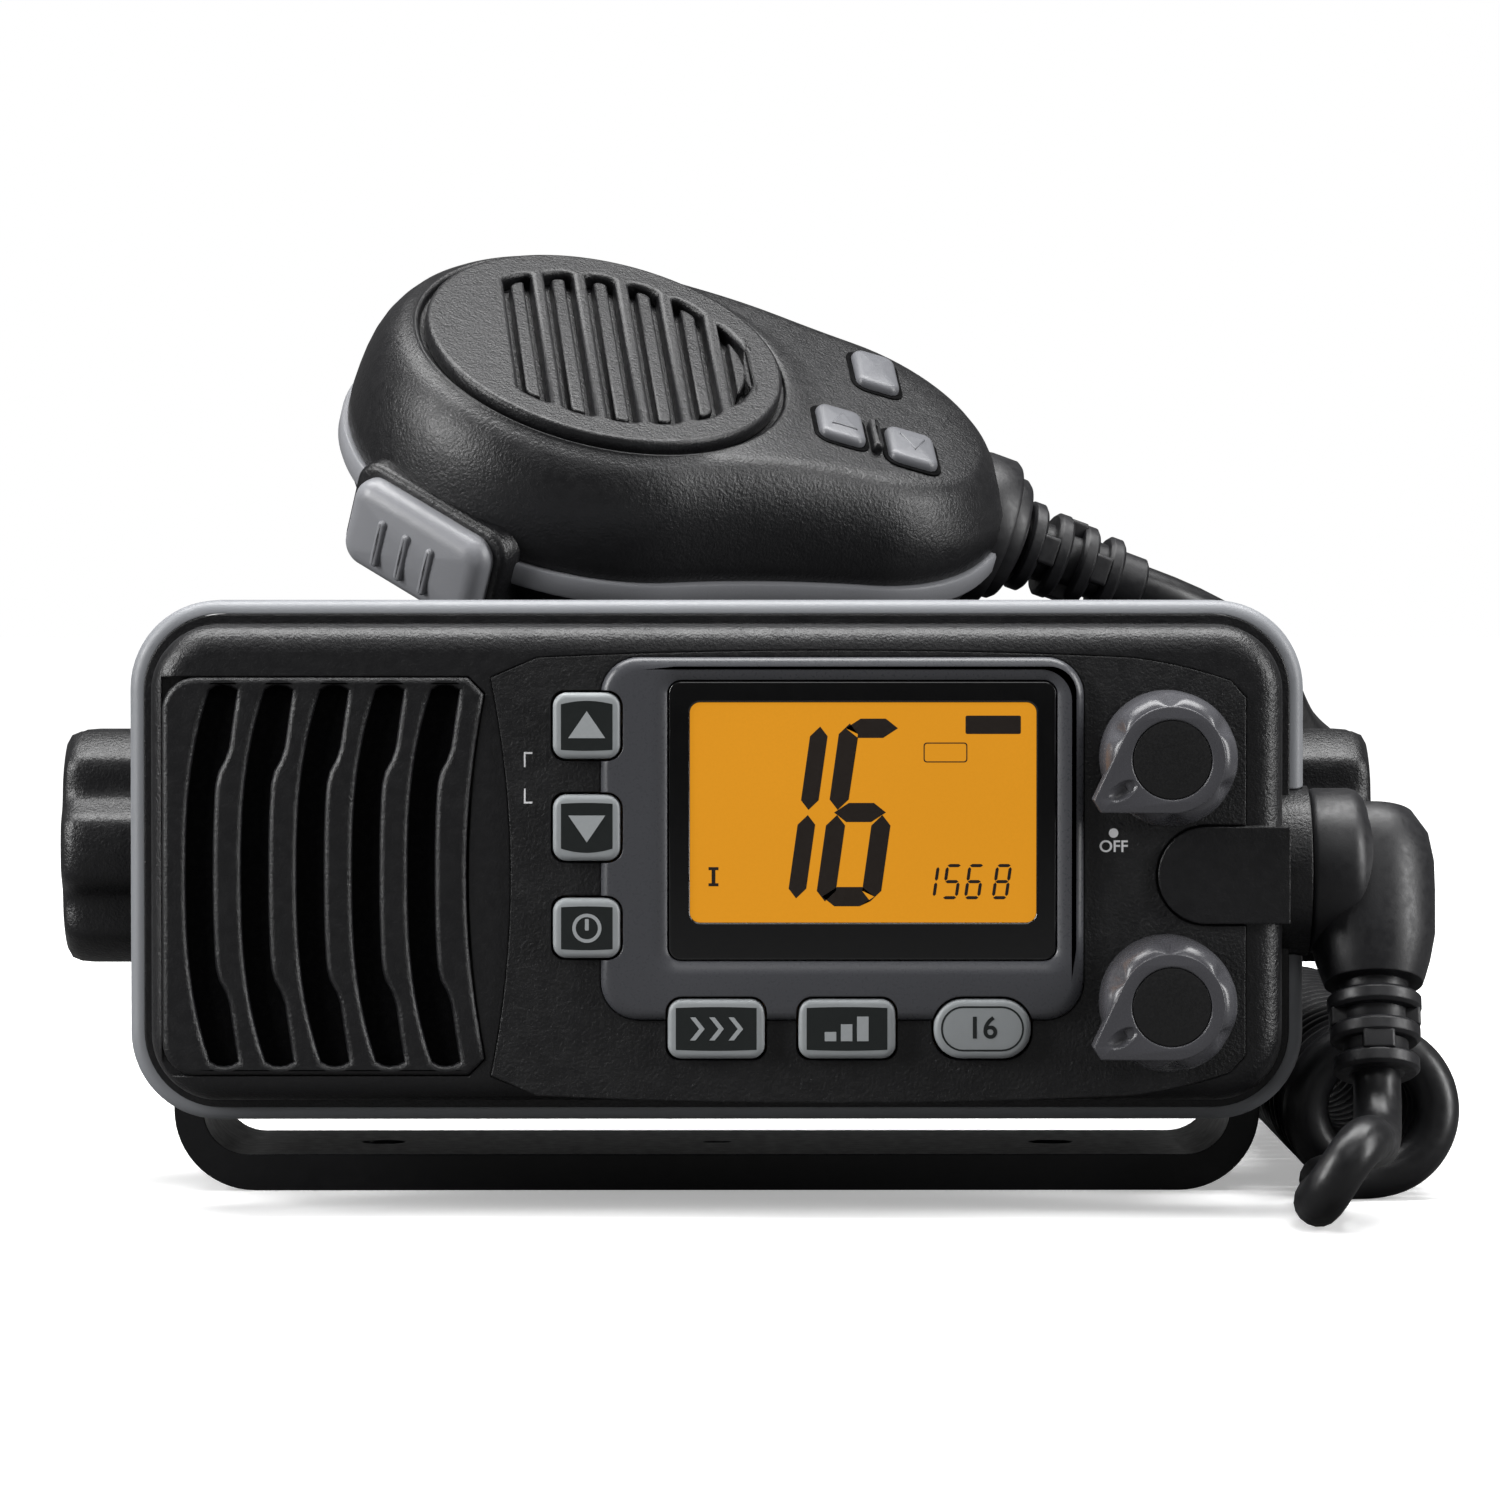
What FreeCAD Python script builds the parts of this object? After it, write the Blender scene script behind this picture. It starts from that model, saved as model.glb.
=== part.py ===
"""Marine VHF radio with a fist microphone: a parametric assembly in millimetres.

Frame: the origin is the centre of the bracket foot on the table, +X to the right of someone who
looks at the front, the front panel faces -Y and +Z is up. "Front" sizes are distances from the
bracket's pivot axis towards the viewer, so a front size of 60 lies at y = -60.
"""
import FreeCAD, Part
import math
import os
import re

import Sketcher
from FreeCAD import Matrix, Placement, Rotation, Vector

DRIVING_SIZES = (
    ("pivot_height", 46.2, "bracket pivot axis above the table"),
    ("fit_gap", 0.1, "gap between a pressed-in piece and its recess"),
    ("free_gap", 0.3, "gap between pieces that pass each other"),
    ("front_reach", 60, "front face from the pivot axis"),
    ("housing_width", 150.3, "front housing"),
    ("housing_height", 64.7, "front housing"),
    ("housing_corner", 10, "front housing corner radius"),
    ("housing_depth", 22, "front housing from its face to its rear edge"),
    ("housing_wall", 2.4, "front housing side wall"),
    ("front_wall", 3, "front housing face wall"),
    ("shoulder_step", 1.3, "width of the step band round the front land"),
    ("land_depth", 8, "front land that stands on the step band"),
    ("shoulder_round", 3.6, "front edge rounding"),
    ("trim_width", 154.4, "grey trim ring"),
    ("trim_height", 68.4, "grey trim ring"),
    ("trim_corner", 11.6, "grey trim ring corner radius"),
    ("trim_front", 50, "front face of the trim ring"),
    ("trim_depth", 9, "trim ring from front to rear"),
    ("trim_round", 1.6, "trim ring front edge rounding"),
    ("recess_depth", 1.5, "recess of the grille and fascia in the front face"),
    ("insert_proud", 0.5, "grille and fascia stand out of the front face"),
    ("grille_left", 72.2, "left edge of the speaker grille from the middle"),
    ("grille_right", 30.2, "right edge of the grille at its corners"),
    ("grille_top", 24.3, "grille top above the pivot axis"),
    ("grille_bottom", 27.6, "grille bottom below the pivot axis"),
    ("grille_side_radius", 130, "hollow right side of the grille"),
    ("grille_groove", 0.8, "groove between the grille and the fascia"),
    ("slot_count", 5, "grille slots"),
    ("slot_first", 67.4, "first slot's middle from the centre"),
    ("slot_pitch", 7.22, "grille slots"),
    ("slot_width", 3.5, "grille slots"),
    ("slot_half_height", 24.2, "grille slots"),
    ("slot_swing", 3.3, "slot ends swing to the right"),
    ("speaker_radius", 18, "loudspeaker basket"),
    ("speaker_depth", 11, "loudspeaker from rim to magnet"),
    ("speaker_across", 51.6, "loudspeaker centre from the middle"),
    ("fascia_right", 68.8, "control fascia right edge"),
    ("fascia_top", 26.8, "control fascia top above the axis"),
    ("fascia_bottom", 30.2, "control fascia bottom below the axis"),
    ("fascia_bow", 1.6, "fascia edges drop at their ends"),
    ("bezel_across", 16.3, "display bezel centre"),
    ("bezel_up", 3.3, "display bezel centre above the axis"),
    ("bezel_width", 62.8, "display bezel"),
    ("bezel_height", 47.2, "display bezel"),
    ("bezel_corner", 5, "display bezel corner radius"),
    ("bezel_proud", 1.4, "display bezel above the fascia"),
    ("lens_across", 18.9, "display lens centre"),
    ("lens_up", 5.65, "display lens centre above the axis"),
    ("lens_width", 50.4, "display lens"),
    ("lens_height", 36.3, "display lens"),
    ("lens_corner", 1.6, "display lens corner radius"),
    ("lens_thickness", 2, "display lens"),
    ("lcd_thickness", 1.8, "liquid crystal cell"),
    ("light_thickness", 4.3, "backlight guide"),
    ("board_thickness", 1.6, "circuit boards"),
    ("front_board_front", 52.4, "front face of the front circuit board"),
    ("front_board_width", 142, "front circuit board"),
    ("front_board_height", 56, "front circuit board"),
    ("membrane_thickness", 1.2, "rubber keypad web"),
    ("key_travel", 1, "front keys"),
    ("key_proud", 1.6, "front keys above the fascia"),
    ("key_stem", 2.2, "key stem radius"),
    ("key_flange", 1, "flange that keeps a key behind the housing's face"),
    ("key_across", 16.9, "up, down and watch keys from the middle, to the left"),
    ("up_key_up", 18, "up key above the axis"),
    ("down_key_up", 4.75, "down key above the axis"),
    ("watch_key_down", 8.3, "watch key below the axis"),
    ("lower_keys_down", 21.4, "lower keys below the axis"),
    ("scan_key_across", 0.1, "scan key from the middle, to the left"),
    ("channel_key_across", 16.9, "channel key from the middle"),
    ("calling_key_across", 34.5, "calling key from the middle"),
    ("square_key_width", 8.8, "up, down and watch keys"),
    ("square_key_height", 8.6, "up, down and watch keys"),
    ("wide_key_width", 12.6, "lower keys"),
    ("wide_key_height", 7.8, "lower keys"),
    ("key_corner", 1.8, "key corner radius"),
    ("dial_across", 58.4, "rotary knobs from the middle"),
    ("volume_up", 13.9, "volume knob above the axis"),
    ("squelch_down", 17.85, "squelch knob below the axis"),
    ("dial_radius", 8.3, "rotary knob at the bottom of its flutes"),
    ("dial_height", 13.2, "rotary knob from skirt to top"),
    ("dial_flutes", 8, "lobes round the rotary knob"),
    ("dial_flute_depth", 0.7, "rotary knob lobes"),
    ("dial_cap_radius", 5.1, "dark cap in the knob's top"),
    ("dial_pointer_reach", 11.4, "pointer tip from the knob's axis"),
    ("dial_pointer_lift", 1.6, "pointer's underside above the skirt's foot, clear of bezel and boss"),
    ("dial_rest_angle", 212, "pointer direction at rest, from +X"),
    ("shaft_radius", 3, "control shafts"),
    ("running_gap", 0.05, "radial clearance of a turning shaft"),
    ("bushing_wall", 1.2, "control bushings"),
    ("boss_radius", 11.2, "microphone socket boss"),
    ("boss_front", 47, "socket boss axis from the pivot axis"),
    ("boss_down", 1.5, "socket boss axis below the pivot axis"),
    ("boss_reach", 77.8, "socket boss end face from the middle"),
    ("tongue_left", 57.3, "tongue end on the front face"),
    ("tongue_half", 6.3, "half height of the tongue"),
    ("tongue_proud", 1.1, "tongue above the front face"),
    ("gasket_thickness", 1, "rubber gasket behind the front housing"),
    ("chassis_width", 137, "die cast chassis"),
    ("chassis_height", 60, "die cast chassis"),
    ("chassis_corner", 9, "chassis long edge radius"),
    ("chassis_back", 75, "chassis rear face behind the pivot axis"),
    ("chassis_wall", 3.2, "chassis walls"),
    ("main_board_down", 12.8, "main circuit board's underside below the axis"),
    ("fin_count", 11, "cooling fins on the rear"),
    ("fin_thickness", 1.8, "cooling fins"),
    ("fin_depth", 7, "cooling fins stand out of the rear face"),
    ("fin_pitch", 6.2, "cooling fins"),
    ("rear_post_across", 52, "rear sockets from the middle"),
    ("socket_radius", 7.8, "antenna socket barrel"),
    ("socket_length", 18, "antenna socket barrel"),
    ("socket_bore", 5.2, "antenna socket mouth"),
    ("gland_radius", 5.6, "lead glands"),
    ("gland_length", 12, "lead glands"),
    ("gland_bore", 3, "lead glands"),
    ("bracket_width", 147.5, "bracket over its arms"),
    ("arm_thickness", 4, "bracket arms"),
    ("foot_thickness", 4.9, "bracket foot plate"),
    ("bracket_depth", 40, "bracket from front to rear"),
    ("bracket_bend", 11, "bracket outer bend radius"),
    ("foot_hole_spacing", 92.5, "screw holes in the foot"),
    ("foot_hole_radius", 3.1, "screw holes in the foot"),
    ("centre_slot_length", 4, "small slot in the middle of the foot"),
    ("centre_slot_radius", 1.2, "small slot in the middle of the foot"),
    ("clamp_radius", 15.4, "bracket knob at the bottom of its flutes"),
    ("clamp_lobe", 1.35, "bracket knob lobes stand out"),
    ("clamp_lobes", 6, "bracket knob lobes"),
    ("clamp_depth", 16, "bracket knob from arm to outer face"),
    ("clamp_stud_radius", 4, "threaded stud of the bracket knob"),
    ("clamp_stud_length", 12, "stud past the bracket arm"),
    ("insert_radius", 7, "threaded insert in the chassis side"),
    ("insert_length", 11, "threaded insert in the chassis side"),
    ("washer_radius", 11, "grip washer between arm and chassis"),
    ("cord_radius", 3.15, "microphone cord"),
    ("curl_radius", 8.65, "curly cord, to the middle of the cord"),
    ("curl_pitch", 7.4, "curly cord"),
    ("curl_turns", 18, "curly cord"),
    ("curl_across", 88, "curly cord axis from the middle"),
    ("curl_front", 33, "first curl from the pivot axis"),
    ("boot_collar_radius", 10.9, "plug boot collar"),
    ("boot_collar_length", 7, "plug boot collar"),
    ("boot_end_across", 86.2, "plug boot outlet from the middle"),
    ("boot_end_front", 57.5, "plug boot outlet from the pivot axis"),
    ("boot_end_up", 18.5, "plug boot outlet above the table"),
    ("mic_across", 15.6, "microphone grille centre from the middle, to the left"),
    ("mic_front", 5, "microphone grille centre from the pivot axis"),
    ("mic_up", 113.9, "microphone grille centre above the table"),
    ("mic_head_radius", 32.7, "microphone head at the seam"),
    ("mic_tail_radius", 24.5, "microphone tail at the seam"),
    ("mic_tail_reach", 36, "tail centre from head centre"),
    ("mic_neck_radius", 150, "hollow of the microphone sides"),
    ("mic_seam", 16.5, "seam under the face"),
    ("mic_band_height", 3.2, "grey band between the shells"),
    ("mic_belly", 25, "rear shell's shoulder under the face"),
    ("mic_depth", 32, "rear shell's flat under the face"),
    ("mic_wall", 2.2, "microphone shells"),
    ("mic_disc_radius", 25, "microphone grille disc"),
    ("mic_slot_count", 6, "slots across the disc"),
    ("mic_slot_pitch", 6.05, "slots across the disc"),
    ("mic_slot_first", 11.2, "first slot from the disc's middle, towards the head's end"),
    ("mic_slot_width", 4.2, "slots across the disc"),
    ("stud_radius", 7, "hang-up stud"),
    ("stud_neck", 4.6, "hang-up stud"),
    ("stud_length", 8, "hang-up stud"),
    ("talk_width", 23, "talk button along the side"),
    ("talk_height", 13, "talk button across the side"),
    ("talk_proud", 4.2, "talk button out of the side"),
    ("talk_travel", 2.2, "talk button"),
    ("talk_margin", 0.5, "talk button all round in its window and behind it when pressed"),
    ("talk_angle", 133, "talk button's place round the head"),
    ("mic_key_travel", 0.8, "microphone keys"),
    ("mic_key_proud", 1.2, "microphone keys above the face"),
    ("relief_radius", 6.4, "strain relief at the microphone"),
    ("relief_length", 25, "strain relief at the microphone"),
)

FRONT = Vector(0, -1, 0)
BACK = Vector(0, 1, 0)
RIGHT = Vector(1, 0, 0)
LEFT = Vector(-1, 0, 0)
UP = Vector(0, 0, 1)
DOWN = Vector(0, 0, -1)

doc = FreeCAD.newDocument("marine_radio")
sheet = doc.addObject("Spreadsheet::Sheet", "sizes")
for row, (alias, number, note) in enumerate(DRIVING_SIZES, start=1):
    sheet.set("A%d" % row, note)
    sheet.set("B%d" % row, str(number))
    sheet.setAlias("B%d" % row, alias)
doc.recompute()

ALIASES = re.compile(r"\b(" + "|".join(size[0] for size in DRIVING_SIZES) + r")\b")
sub_parts = []


def bound(expression):
    """The expression with each size's name led to the sheet."""
    return ALIASES.sub(r"sizes.\1", str(expression))


def value(expression):
    """The number that an expression of sizes comes to."""
    return float(sheet.evalExpression(str(expression)))


def bind(feature, prop, expression):
    feature.setExpression(prop, bound(expression))


# Bodies, sketches and features

def new_body(name, at=None, rotation=None):
    """A body whose own origin sits at the three expressions of at."""
    body = doc.addObject("PartDesign::Body", name)
    body.Label = name
    if rotation:
        body.Placement = Placement(Vector(), rotation)
    for axis, expression in zip("xyz", at or ()):
        bind(body, "Placement.Base." + axis, expression)
    sub_parts.append(body)
    return body


def sketch_on(body, role, offset="0", across="0", up="0"):
    """A sketch on one of the body's own origin planes, moved by three expressions."""
    sketch = body.newObject("Sketcher::SketchObject", "outline")
    plane = next(item for item in body.Origin.OriginFeatures if item.Role == role)
    sketch.AttachmentSupport = (plane, "")
    sketch.MapMode = "FlatFace"
    for axis, expression in zip("xyz", (across, up, offset)):
        bind(sketch, "AttachmentOffset.Base." + axis, expression)
    return sketch


def front_sketch(body, front, across="0", above="0"):
    """A sketch that faces the viewer: front from the pivot axis, above the pivot's height."""
    return sketch_on(body, "XZ_Plane", front, across, "pivot_height + " + above)


def named(sketch, constraint, expression):
    """Adds a constraint and binds it to an expression of sizes."""
    index = sketch.addConstraint(constraint)
    name = "size_%d" % index
    sketch.renameConstraint(index, name)
    bind(sketch, "Constraints." + name, expression)


def rounded_rectangle(sketch, width, height, radius):
    """Four lines and four equal corner arcs about the sketch's origin."""
    half_width = value(width) / 2
    half_height = value(height) / 2
    corner = value(radius)
    first = sketch.GeometryCount
    centre_x = half_width - corner
    centre_y = half_height - corner
    lines = (
        (-centre_x, -half_height, centre_x, -half_height),
        (half_width, -centre_y, half_width, centre_y),
        (centre_x, half_height, -centre_x, half_height),
        (-half_width, centre_y, -half_width, -centre_y),
    )
    for x0, y0, x1, y1 in lines:
        sketch.addGeometry(Part.LineSegment(Vector(x0, y0, 0), Vector(x1, y1, 0)))
    for turn, (x, y) in enumerate(((1, -1), (1, 1), (-1, 1), (-1, -1))):
        circle = Part.Circle(Vector(x * centre_x, y * centre_y, 0), Vector(0, 0, 1), corner)
        start = math.radians(90 * turn - 90)
        sketch.addGeometry(Part.ArcOfCircle(circle, start, start + math.pi / 2))
    for side in range(4):
        line = first + side
        arc = first + 4 + side
        following = first + (side + 1) % 4
        sketch.addConstraint(Sketcher.Constraint("Tangent", line, 2, arc, 1))
        sketch.addConstraint(Sketcher.Constraint("Tangent", arc, 2, following, 1))
        direction = "Vertical" if side % 2 else "Horizontal"
        sketch.addConstraint(Sketcher.Constraint(direction, line))
    for arc in range(first + 5, first + 8):
        sketch.addConstraint(Sketcher.Constraint("Equal", first + 4, arc))
    sketch.addConstraint(Sketcher.Constraint("Symmetric", first + 4, 3, first + 6, 3, -1, 1))
    named(sketch, Sketcher.Constraint("DistanceX", first + 3, 1, first + 1, 1, 2 * half_width), width)
    named(sketch, Sketcher.Constraint("DistanceY", first, 1, first + 2, 1, 2 * half_height), height)
    named(sketch, Sketcher.Constraint("Radius", first + 4, corner), radius)


def ring(sketch, radius, across="0", up="0"):
    """A full circle."""
    x = value(across)
    y = value(up)
    index = sketch.addGeometry(Part.Circle(Vector(x, y, 0), Vector(0, 0, 1), value(radius)))
    named(sketch, Sketcher.Constraint("DistanceX", -1, 1, index, 3, x), across)
    named(sketch, Sketcher.Constraint("DistanceY", -1, 1, index, 3, y), up)
    named(sketch, Sketcher.Constraint("Radius", index, value(radius)), radius)


def arc_between(start, end, radius):
    """The short arc from start to end that turns left on its way."""
    chord = end - start
    middle = (start + end) / 2
    side = Vector(-chord.y, chord.x, 0).normalize()
    centre = middle + side * math.sqrt(radius ** 2 - (chord.Length / 2) ** 2)
    first = math.atan2(start.y - centre.y, start.x - centre.x)
    last = math.atan2(end.y - centre.y, end.x - centre.x)
    if last < first:
        last += 2 * math.pi
    return Part.ArcOfCircle(Part.Circle(centre, Vector(0, 0, 1), radius), first, last)


def outline(sketch, corners):
    """Closed outline through corners, counterclockwise.

    A corner is (across, up), or (across, up, radius) where the side to the next corner is an arc:
    a plain radius bulges outward, and one written with a leading minus is hollow.
    """
    points = [Vector(value(corner[0]), value(corner[1]), 0) for corner in corners]
    first = sketch.GeometryCount
    ends = []
    for index, corner in enumerate(corners):
        start = points[index]
        end = points[(index + 1) % len(points)]
        if len(corner) == 2:
            sketch.addGeometry(Part.LineSegment(start, end))
            ends.append((1, 2))
        elif corner[2].startswith("-"):
            sketch.addGeometry(arc_between(end, start, value(corner[2][1:])))
            ends.append((2, 1))
        else:
            sketch.addGeometry(arc_between(start, end, value(corner[2])))
            ends.append((1, 2))
    for index, corner in enumerate(corners):
        this = first + index
        following = first + (index + 1) % len(corners)
        next_start = ends[(index + 1) % len(corners)][0]
        sketch.addConstraint(
            Sketcher.Constraint("Coincident", this, ends[index][1], following, next_start)
        )
        point = points[index]
        begin = ends[index][0]
        named(sketch, Sketcher.Constraint("DistanceX", -1, 1, this, begin, point.x), corner[0])
        named(sketch, Sketcher.Constraint("DistanceY", -1, 1, this, begin, point.y), corner[1])
        if len(corner) == 3:
            radius = corner[2].lstrip("-")
            named(sketch, Sketcher.Constraint("Radius", this, value(radius)), radius)


def pad(body, sketch, length, reverse=False):
    """Adds the sketch's outline as a solid, towards the sketch's own normal."""
    feature = body.newObject("PartDesign::Pad", "pad")
    feature.Profile = sketch
    feature.Reversed = reverse
    bind(feature, "Length", length)
    doc.recompute()
    return feature


def cut(body, sketch, depth, reverse=False):
    """Cuts the sketch's outline away, against the sketch's normal, and checks that it did."""
    before = body.Tip.Shape.Volume
    feature = body.newObject("PartDesign::Pocket", "cut")
    feature.Profile = sketch
    feature.Reversed = reverse
    bind(feature, "Length", depth)
    doc.recompute()
    if feature.Shape.Volume >= before:
        raise RuntimeError("a cut of %s removes nothing" % body.Label)
    return feature


def soften(body, radius, chosen):
    """Rounds the edges for which chosen(edge) is true."""
    base = body.Tip
    edges = ["Edge%d" % (i + 1) for i, edge in enumerate(base.Shape.Edges) if chosen(edge)]
    feature = body.newObject("PartDesign::Fillet", "round")
    feature.Base = (base, edges)
    bind(feature, "Radius", radius)
    doc.recompute()
    return feature


def level(axis, place):
    """Chooses edges that lie in one plane across an axis: 0 for X, 1 for Y, 2 for Z."""
    def chosen(edge):
        box = edge.BoundBox
        low = (box.XMin, box.YMin, box.ZMin)[axis]
        high = (box.XMax, box.YMax, box.ZMax)[axis]
        return abs(low - place) < 1e-3 and abs(high - place) < 1e-3
    return chosen


def block(name, width, height, radius, rear, depth, across="0", above="0"):
    """A plate with rounded corners that faces the viewer, from its rear face forward."""
    body = new_body(name)
    sketch = front_sketch(body, rear, across, above)
    rounded_rectangle(sketch, width, height, radius)
    pad(body, sketch, depth)
    return body


def cut_rectangle(body, front, width, height, radius, depth, across="0", above="0"):
    sketch = front_sketch(body, front, across, above)
    rounded_rectangle(sketch, width, height, radius)
    cut(body, sketch, depth)


def cut_circle(body, front, radius, depth, across="0", above="0"):
    sketch = front_sketch(body, front, across, above)
    ring(sketch, radius)
    cut(body, sketch, depth)


def turned(name, profile, at, towards):
    """A solid of revolution: profile of (radius, height), its axis led from at towards."""
    body = new_body(name, at, Rotation(UP, towards))
    add_turning(body, profile)
    return body


def add_turning(body, profile):
    sketch = sketch_on(body, "XZ_Plane")
    outline(sketch, profile)
    feature = body.newObject("PartDesign::Revolution", "turning")
    feature.Profile = sketch
    feature.ReferenceAxis = (sketch, ["V_Axis"])
    feature.Angle = 360
    doc.recompute()
    return feature


def add_shape(name, shape, placement=None):
    """A piece whose form is worked out from the sheet's sizes in code."""
    feature = doc.addObject("Part::Feature", name)
    feature.Label = name
    feature.Shape = shape
    if placement:
        feature.Placement = placement.multiply(shape.Placement)
    sub_parts.append(feature)
    return feature


def repeat(body, feature, sketch_axis, length, count):
    """Copies of a feature in a row, over a whole length."""
    pattern = body.newObject("PartDesign::LinearPattern", "row")
    pattern.Originals = [feature]
    pattern.Direction = sketch_axis
    bind(pattern, "Length", length)
    bind(pattern, "Occurrences", count)
    body.Tip = pattern
    doc.recompute()
    return pattern


def repeat_round(body, feature, axis, count):
    """Copies of a feature round an axis."""
    pattern = body.newObject("PartDesign::PolarPattern", "round_row")
    pattern.Originals = [feature]
    pattern.Axis = axis
    pattern.Angle = 360
    bind(pattern, "Occurrences", count)
    body.Tip = pattern
    doc.recompute()
    return pattern


# Front housing with the socket boss and its tongue

HOUSING_REAR = "(front_reach - housing_depth)"
LAND_FRONT = "front_reach"
INNER_FACE = "(front_reach - front_wall)"
FASCIA_FACE = "(front_reach + insert_proud)"

KEYS = (
    ("up_key", "-key_across", "up_key_up", "square_key_width", "square_key_height", "key_corner"),
    ("down_key", "-key_across", "down_key_up", "square_key_width", "square_key_height", "key_corner"),
    ("watch_key", "-key_across", "-watch_key_down", "square_key_width", "wide_key_height",
     "key_corner"),
    ("scan_key", "-scan_key_across", "-lower_keys_down", "wide_key_width", "wide_key_height",
     "key_corner"),
    ("channel_key", "channel_key_across", "-lower_keys_down", "wide_key_width", "wide_key_height",
     "key_corner"),
    ("calling_key", "calling_key_across", "-lower_keys_down", "wide_key_width", "wide_key_height",
     "(wide_key_height / 2 - 0.2)"),
)
DIALS = (("volume", "volume_up"), ("squelch", "-squelch_down"))


def key_holes(body, front, depth):
    """The holes that the six keys pass through."""
    for name, across, above, width, height, corner in KEYS:
        wide = width + " + 2 * free_gap"
        tall = height + " + 2 * free_gap"
        cut_rectangle(body, front, wide, tall, corner, depth, across, above)


def shaft_holes(body, front, radius, depth):
    for name, above in DIALS:
        cut_circle(body, front, radius, depth, "dial_across", above)


def grille_outline(sketch, grow):
    """The grille's outline: a hollow right side that follows the fascia."""
    outline(sketch, (
        ("-grille_left - " + grow, "-grille_bottom - " + grow),
        ("-grille_right - 2.2 + " + grow, "-grille_bottom - " + grow),
        ("-grille_right + " + grow, "2.2 - grille_bottom - " + grow, "-grille_side_radius"),
        ("-grille_right + " + grow, "grille_top - 2.2 + " + grow),
        ("-grille_right - 2.2 + " + grow, "grille_top + " + grow),
        ("-grille_left - " + grow, "grille_top + " + grow),
    ))


def fascia_outline(sketch, grow):
    """The fascia's outline: crowned top and bottom, a round notch for the socket's tongue."""
    left = "-grille_right + grille_groove - " + grow
    right = "fascia_right + " + grow
    top = "fascia_top + " + grow
    bottom = "-fascia_bottom - " + grow
    notch = "(tongue_half + free_gap - %s)" % grow
    outline(sketch, (
        (left, bottom + " + fascia_bow + 1"),
        ("-grille_right + grille_groove + 6", bottom, "800"),
        ("fascia_right - 15", bottom, "60"),
        ("fascia_right - 2", bottom + " + fascia_bow + 1.4"),
        (right, bottom + " + fascia_bow + 3.6"),
        (right, "-boss_down - " + notch),
        ("tongue_left + tongue_half", "-boss_down - " + notch, "-" + notch + " * 1.0001"),
        ("tongue_left + tongue_half", "-boss_down + " + notch),
        (right, "-boss_down + " + notch),
        (right, top + " - fascia_bow - 3.6"),
        ("fascia_right - 2", top + " - fascia_bow - 1.4", "60"),
        ("fascia_right - 15", top, "800"),
        ("-grille_right + grille_groove + 6", top),
        (left, top + " - fascia_bow - 1", "-grille_side_radius"),
    ))


def make_front_housing():
    body = new_body("front_housing")
    base = front_sketch(body, HOUSING_REAR)
    rounded_rectangle(base, "housing_width", "housing_height", "housing_corner")
    pad(body, base, "housing_depth - land_depth")
    land = front_sketch(body, "front_reach - land_depth")
    rounded_rectangle(land, "housing_width - 2 * shoulder_step", "housing_height - 2 * shoulder_step",
                      "housing_corner - shoulder_step")
    pad(body, land, "land_depth")
    soften(body, "shoulder_round", level(1, -value("front_reach")))
    cavity = front_sketch(body, HOUSING_REAR)
    rounded_rectangle(cavity, "housing_width - 2 * housing_wall", "housing_height - 2 * housing_wall",
                      "housing_corner - housing_wall")
    cut(body, cavity, "housing_depth - front_wall", reverse=True)
    boss = sketch_on(body, "YZ_Plane", "housing_width / 2 - housing_wall", "-boss_front",
                     "pivot_height - boss_down")
    ring(boss, "boss_radius")
    pad(body, boss, "boss_reach - housing_width / 2 + housing_wall")
    tongue = front_sketch(body, INNER_FACE, "0", "-boss_down")
    outline(tongue, (
        ("tongue_left + tongue_half", "-tongue_half"),
        ("boss_reach - 3.2", "-tongue_half"),
        ("boss_reach - 3.2", "tongue_half"),
        ("tongue_left + tongue_half", "tongue_half", "tongue_half * 1.0001"),
    ))
    pad(body, tongue, "front_wall + tongue_proud")
    bore = sketch_on(body, "YZ_Plane", "boss_reach", "-boss_front", "pivot_height - boss_down")
    ring(bore, "boss_radius - 3.4")
    cut(body, bore, "boss_reach - housing_width / 2 + housing_wall + 1")
    grille = front_sketch(body, LAND_FRONT)
    grille_outline(grille, "fit_gap")
    cut(body, grille, "recess_depth")
    fascia = front_sketch(body, LAND_FRONT)
    fascia_outline(fascia, "fit_gap")
    cut(body, fascia, "recess_depth")
    cut_circle(body, LAND_FRONT, "speaker_radius - 1.5", "front_wall", "-speaker_across", "-1.6")
    cut_rectangle(body, LAND_FRONT, "lens_width - 2", "lens_height - 2", "lens_corner", "front_wall",
                  "lens_across", "lens_up")
    key_holes(body, LAND_FRONT, "front_wall")
    shaft_holes(body, LAND_FRONT, "shaft_radius + running_gap + bushing_wall + free_gap",
                "front_wall")
    board_bosses = front_sketch(body, "front_board_front")
    for across in ("-front_board_width / 2 + 4.2", "front_board_width / 2 - 4.2"):
        for above in ("-front_board_height / 2 + 2.4", "front_board_height / 2 - 2.4"):
            ring(board_bosses, "2", across, above)
    pad(body, board_bosses, "front_reach - front_wall - front_board_front")
    return body


def make_trim_ring():
    """The grey ring sits round the housing, against its step band."""
    body = block("trim_ring", "trim_width", "trim_height", "trim_corner", "trim_front - trim_depth",
                 "trim_depth")
    soften(body, "trim_round", level(1, -value("trim_front")))
    cut_rectangle(body, "trim_front", "housing_width + 2 * fit_gap", "housing_height + 2 * fit_gap",
                  "housing_corner + fit_gap", "trim_depth")
    passage = sketch_on(body, "YZ_Plane", "boss_reach", "-boss_front", "pivot_height - boss_down")
    ring(passage, "boss_radius + fit_gap")
    cut(body, passage, "trim_width / 2 - housing_width / 2 + 8")
    return body


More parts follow.
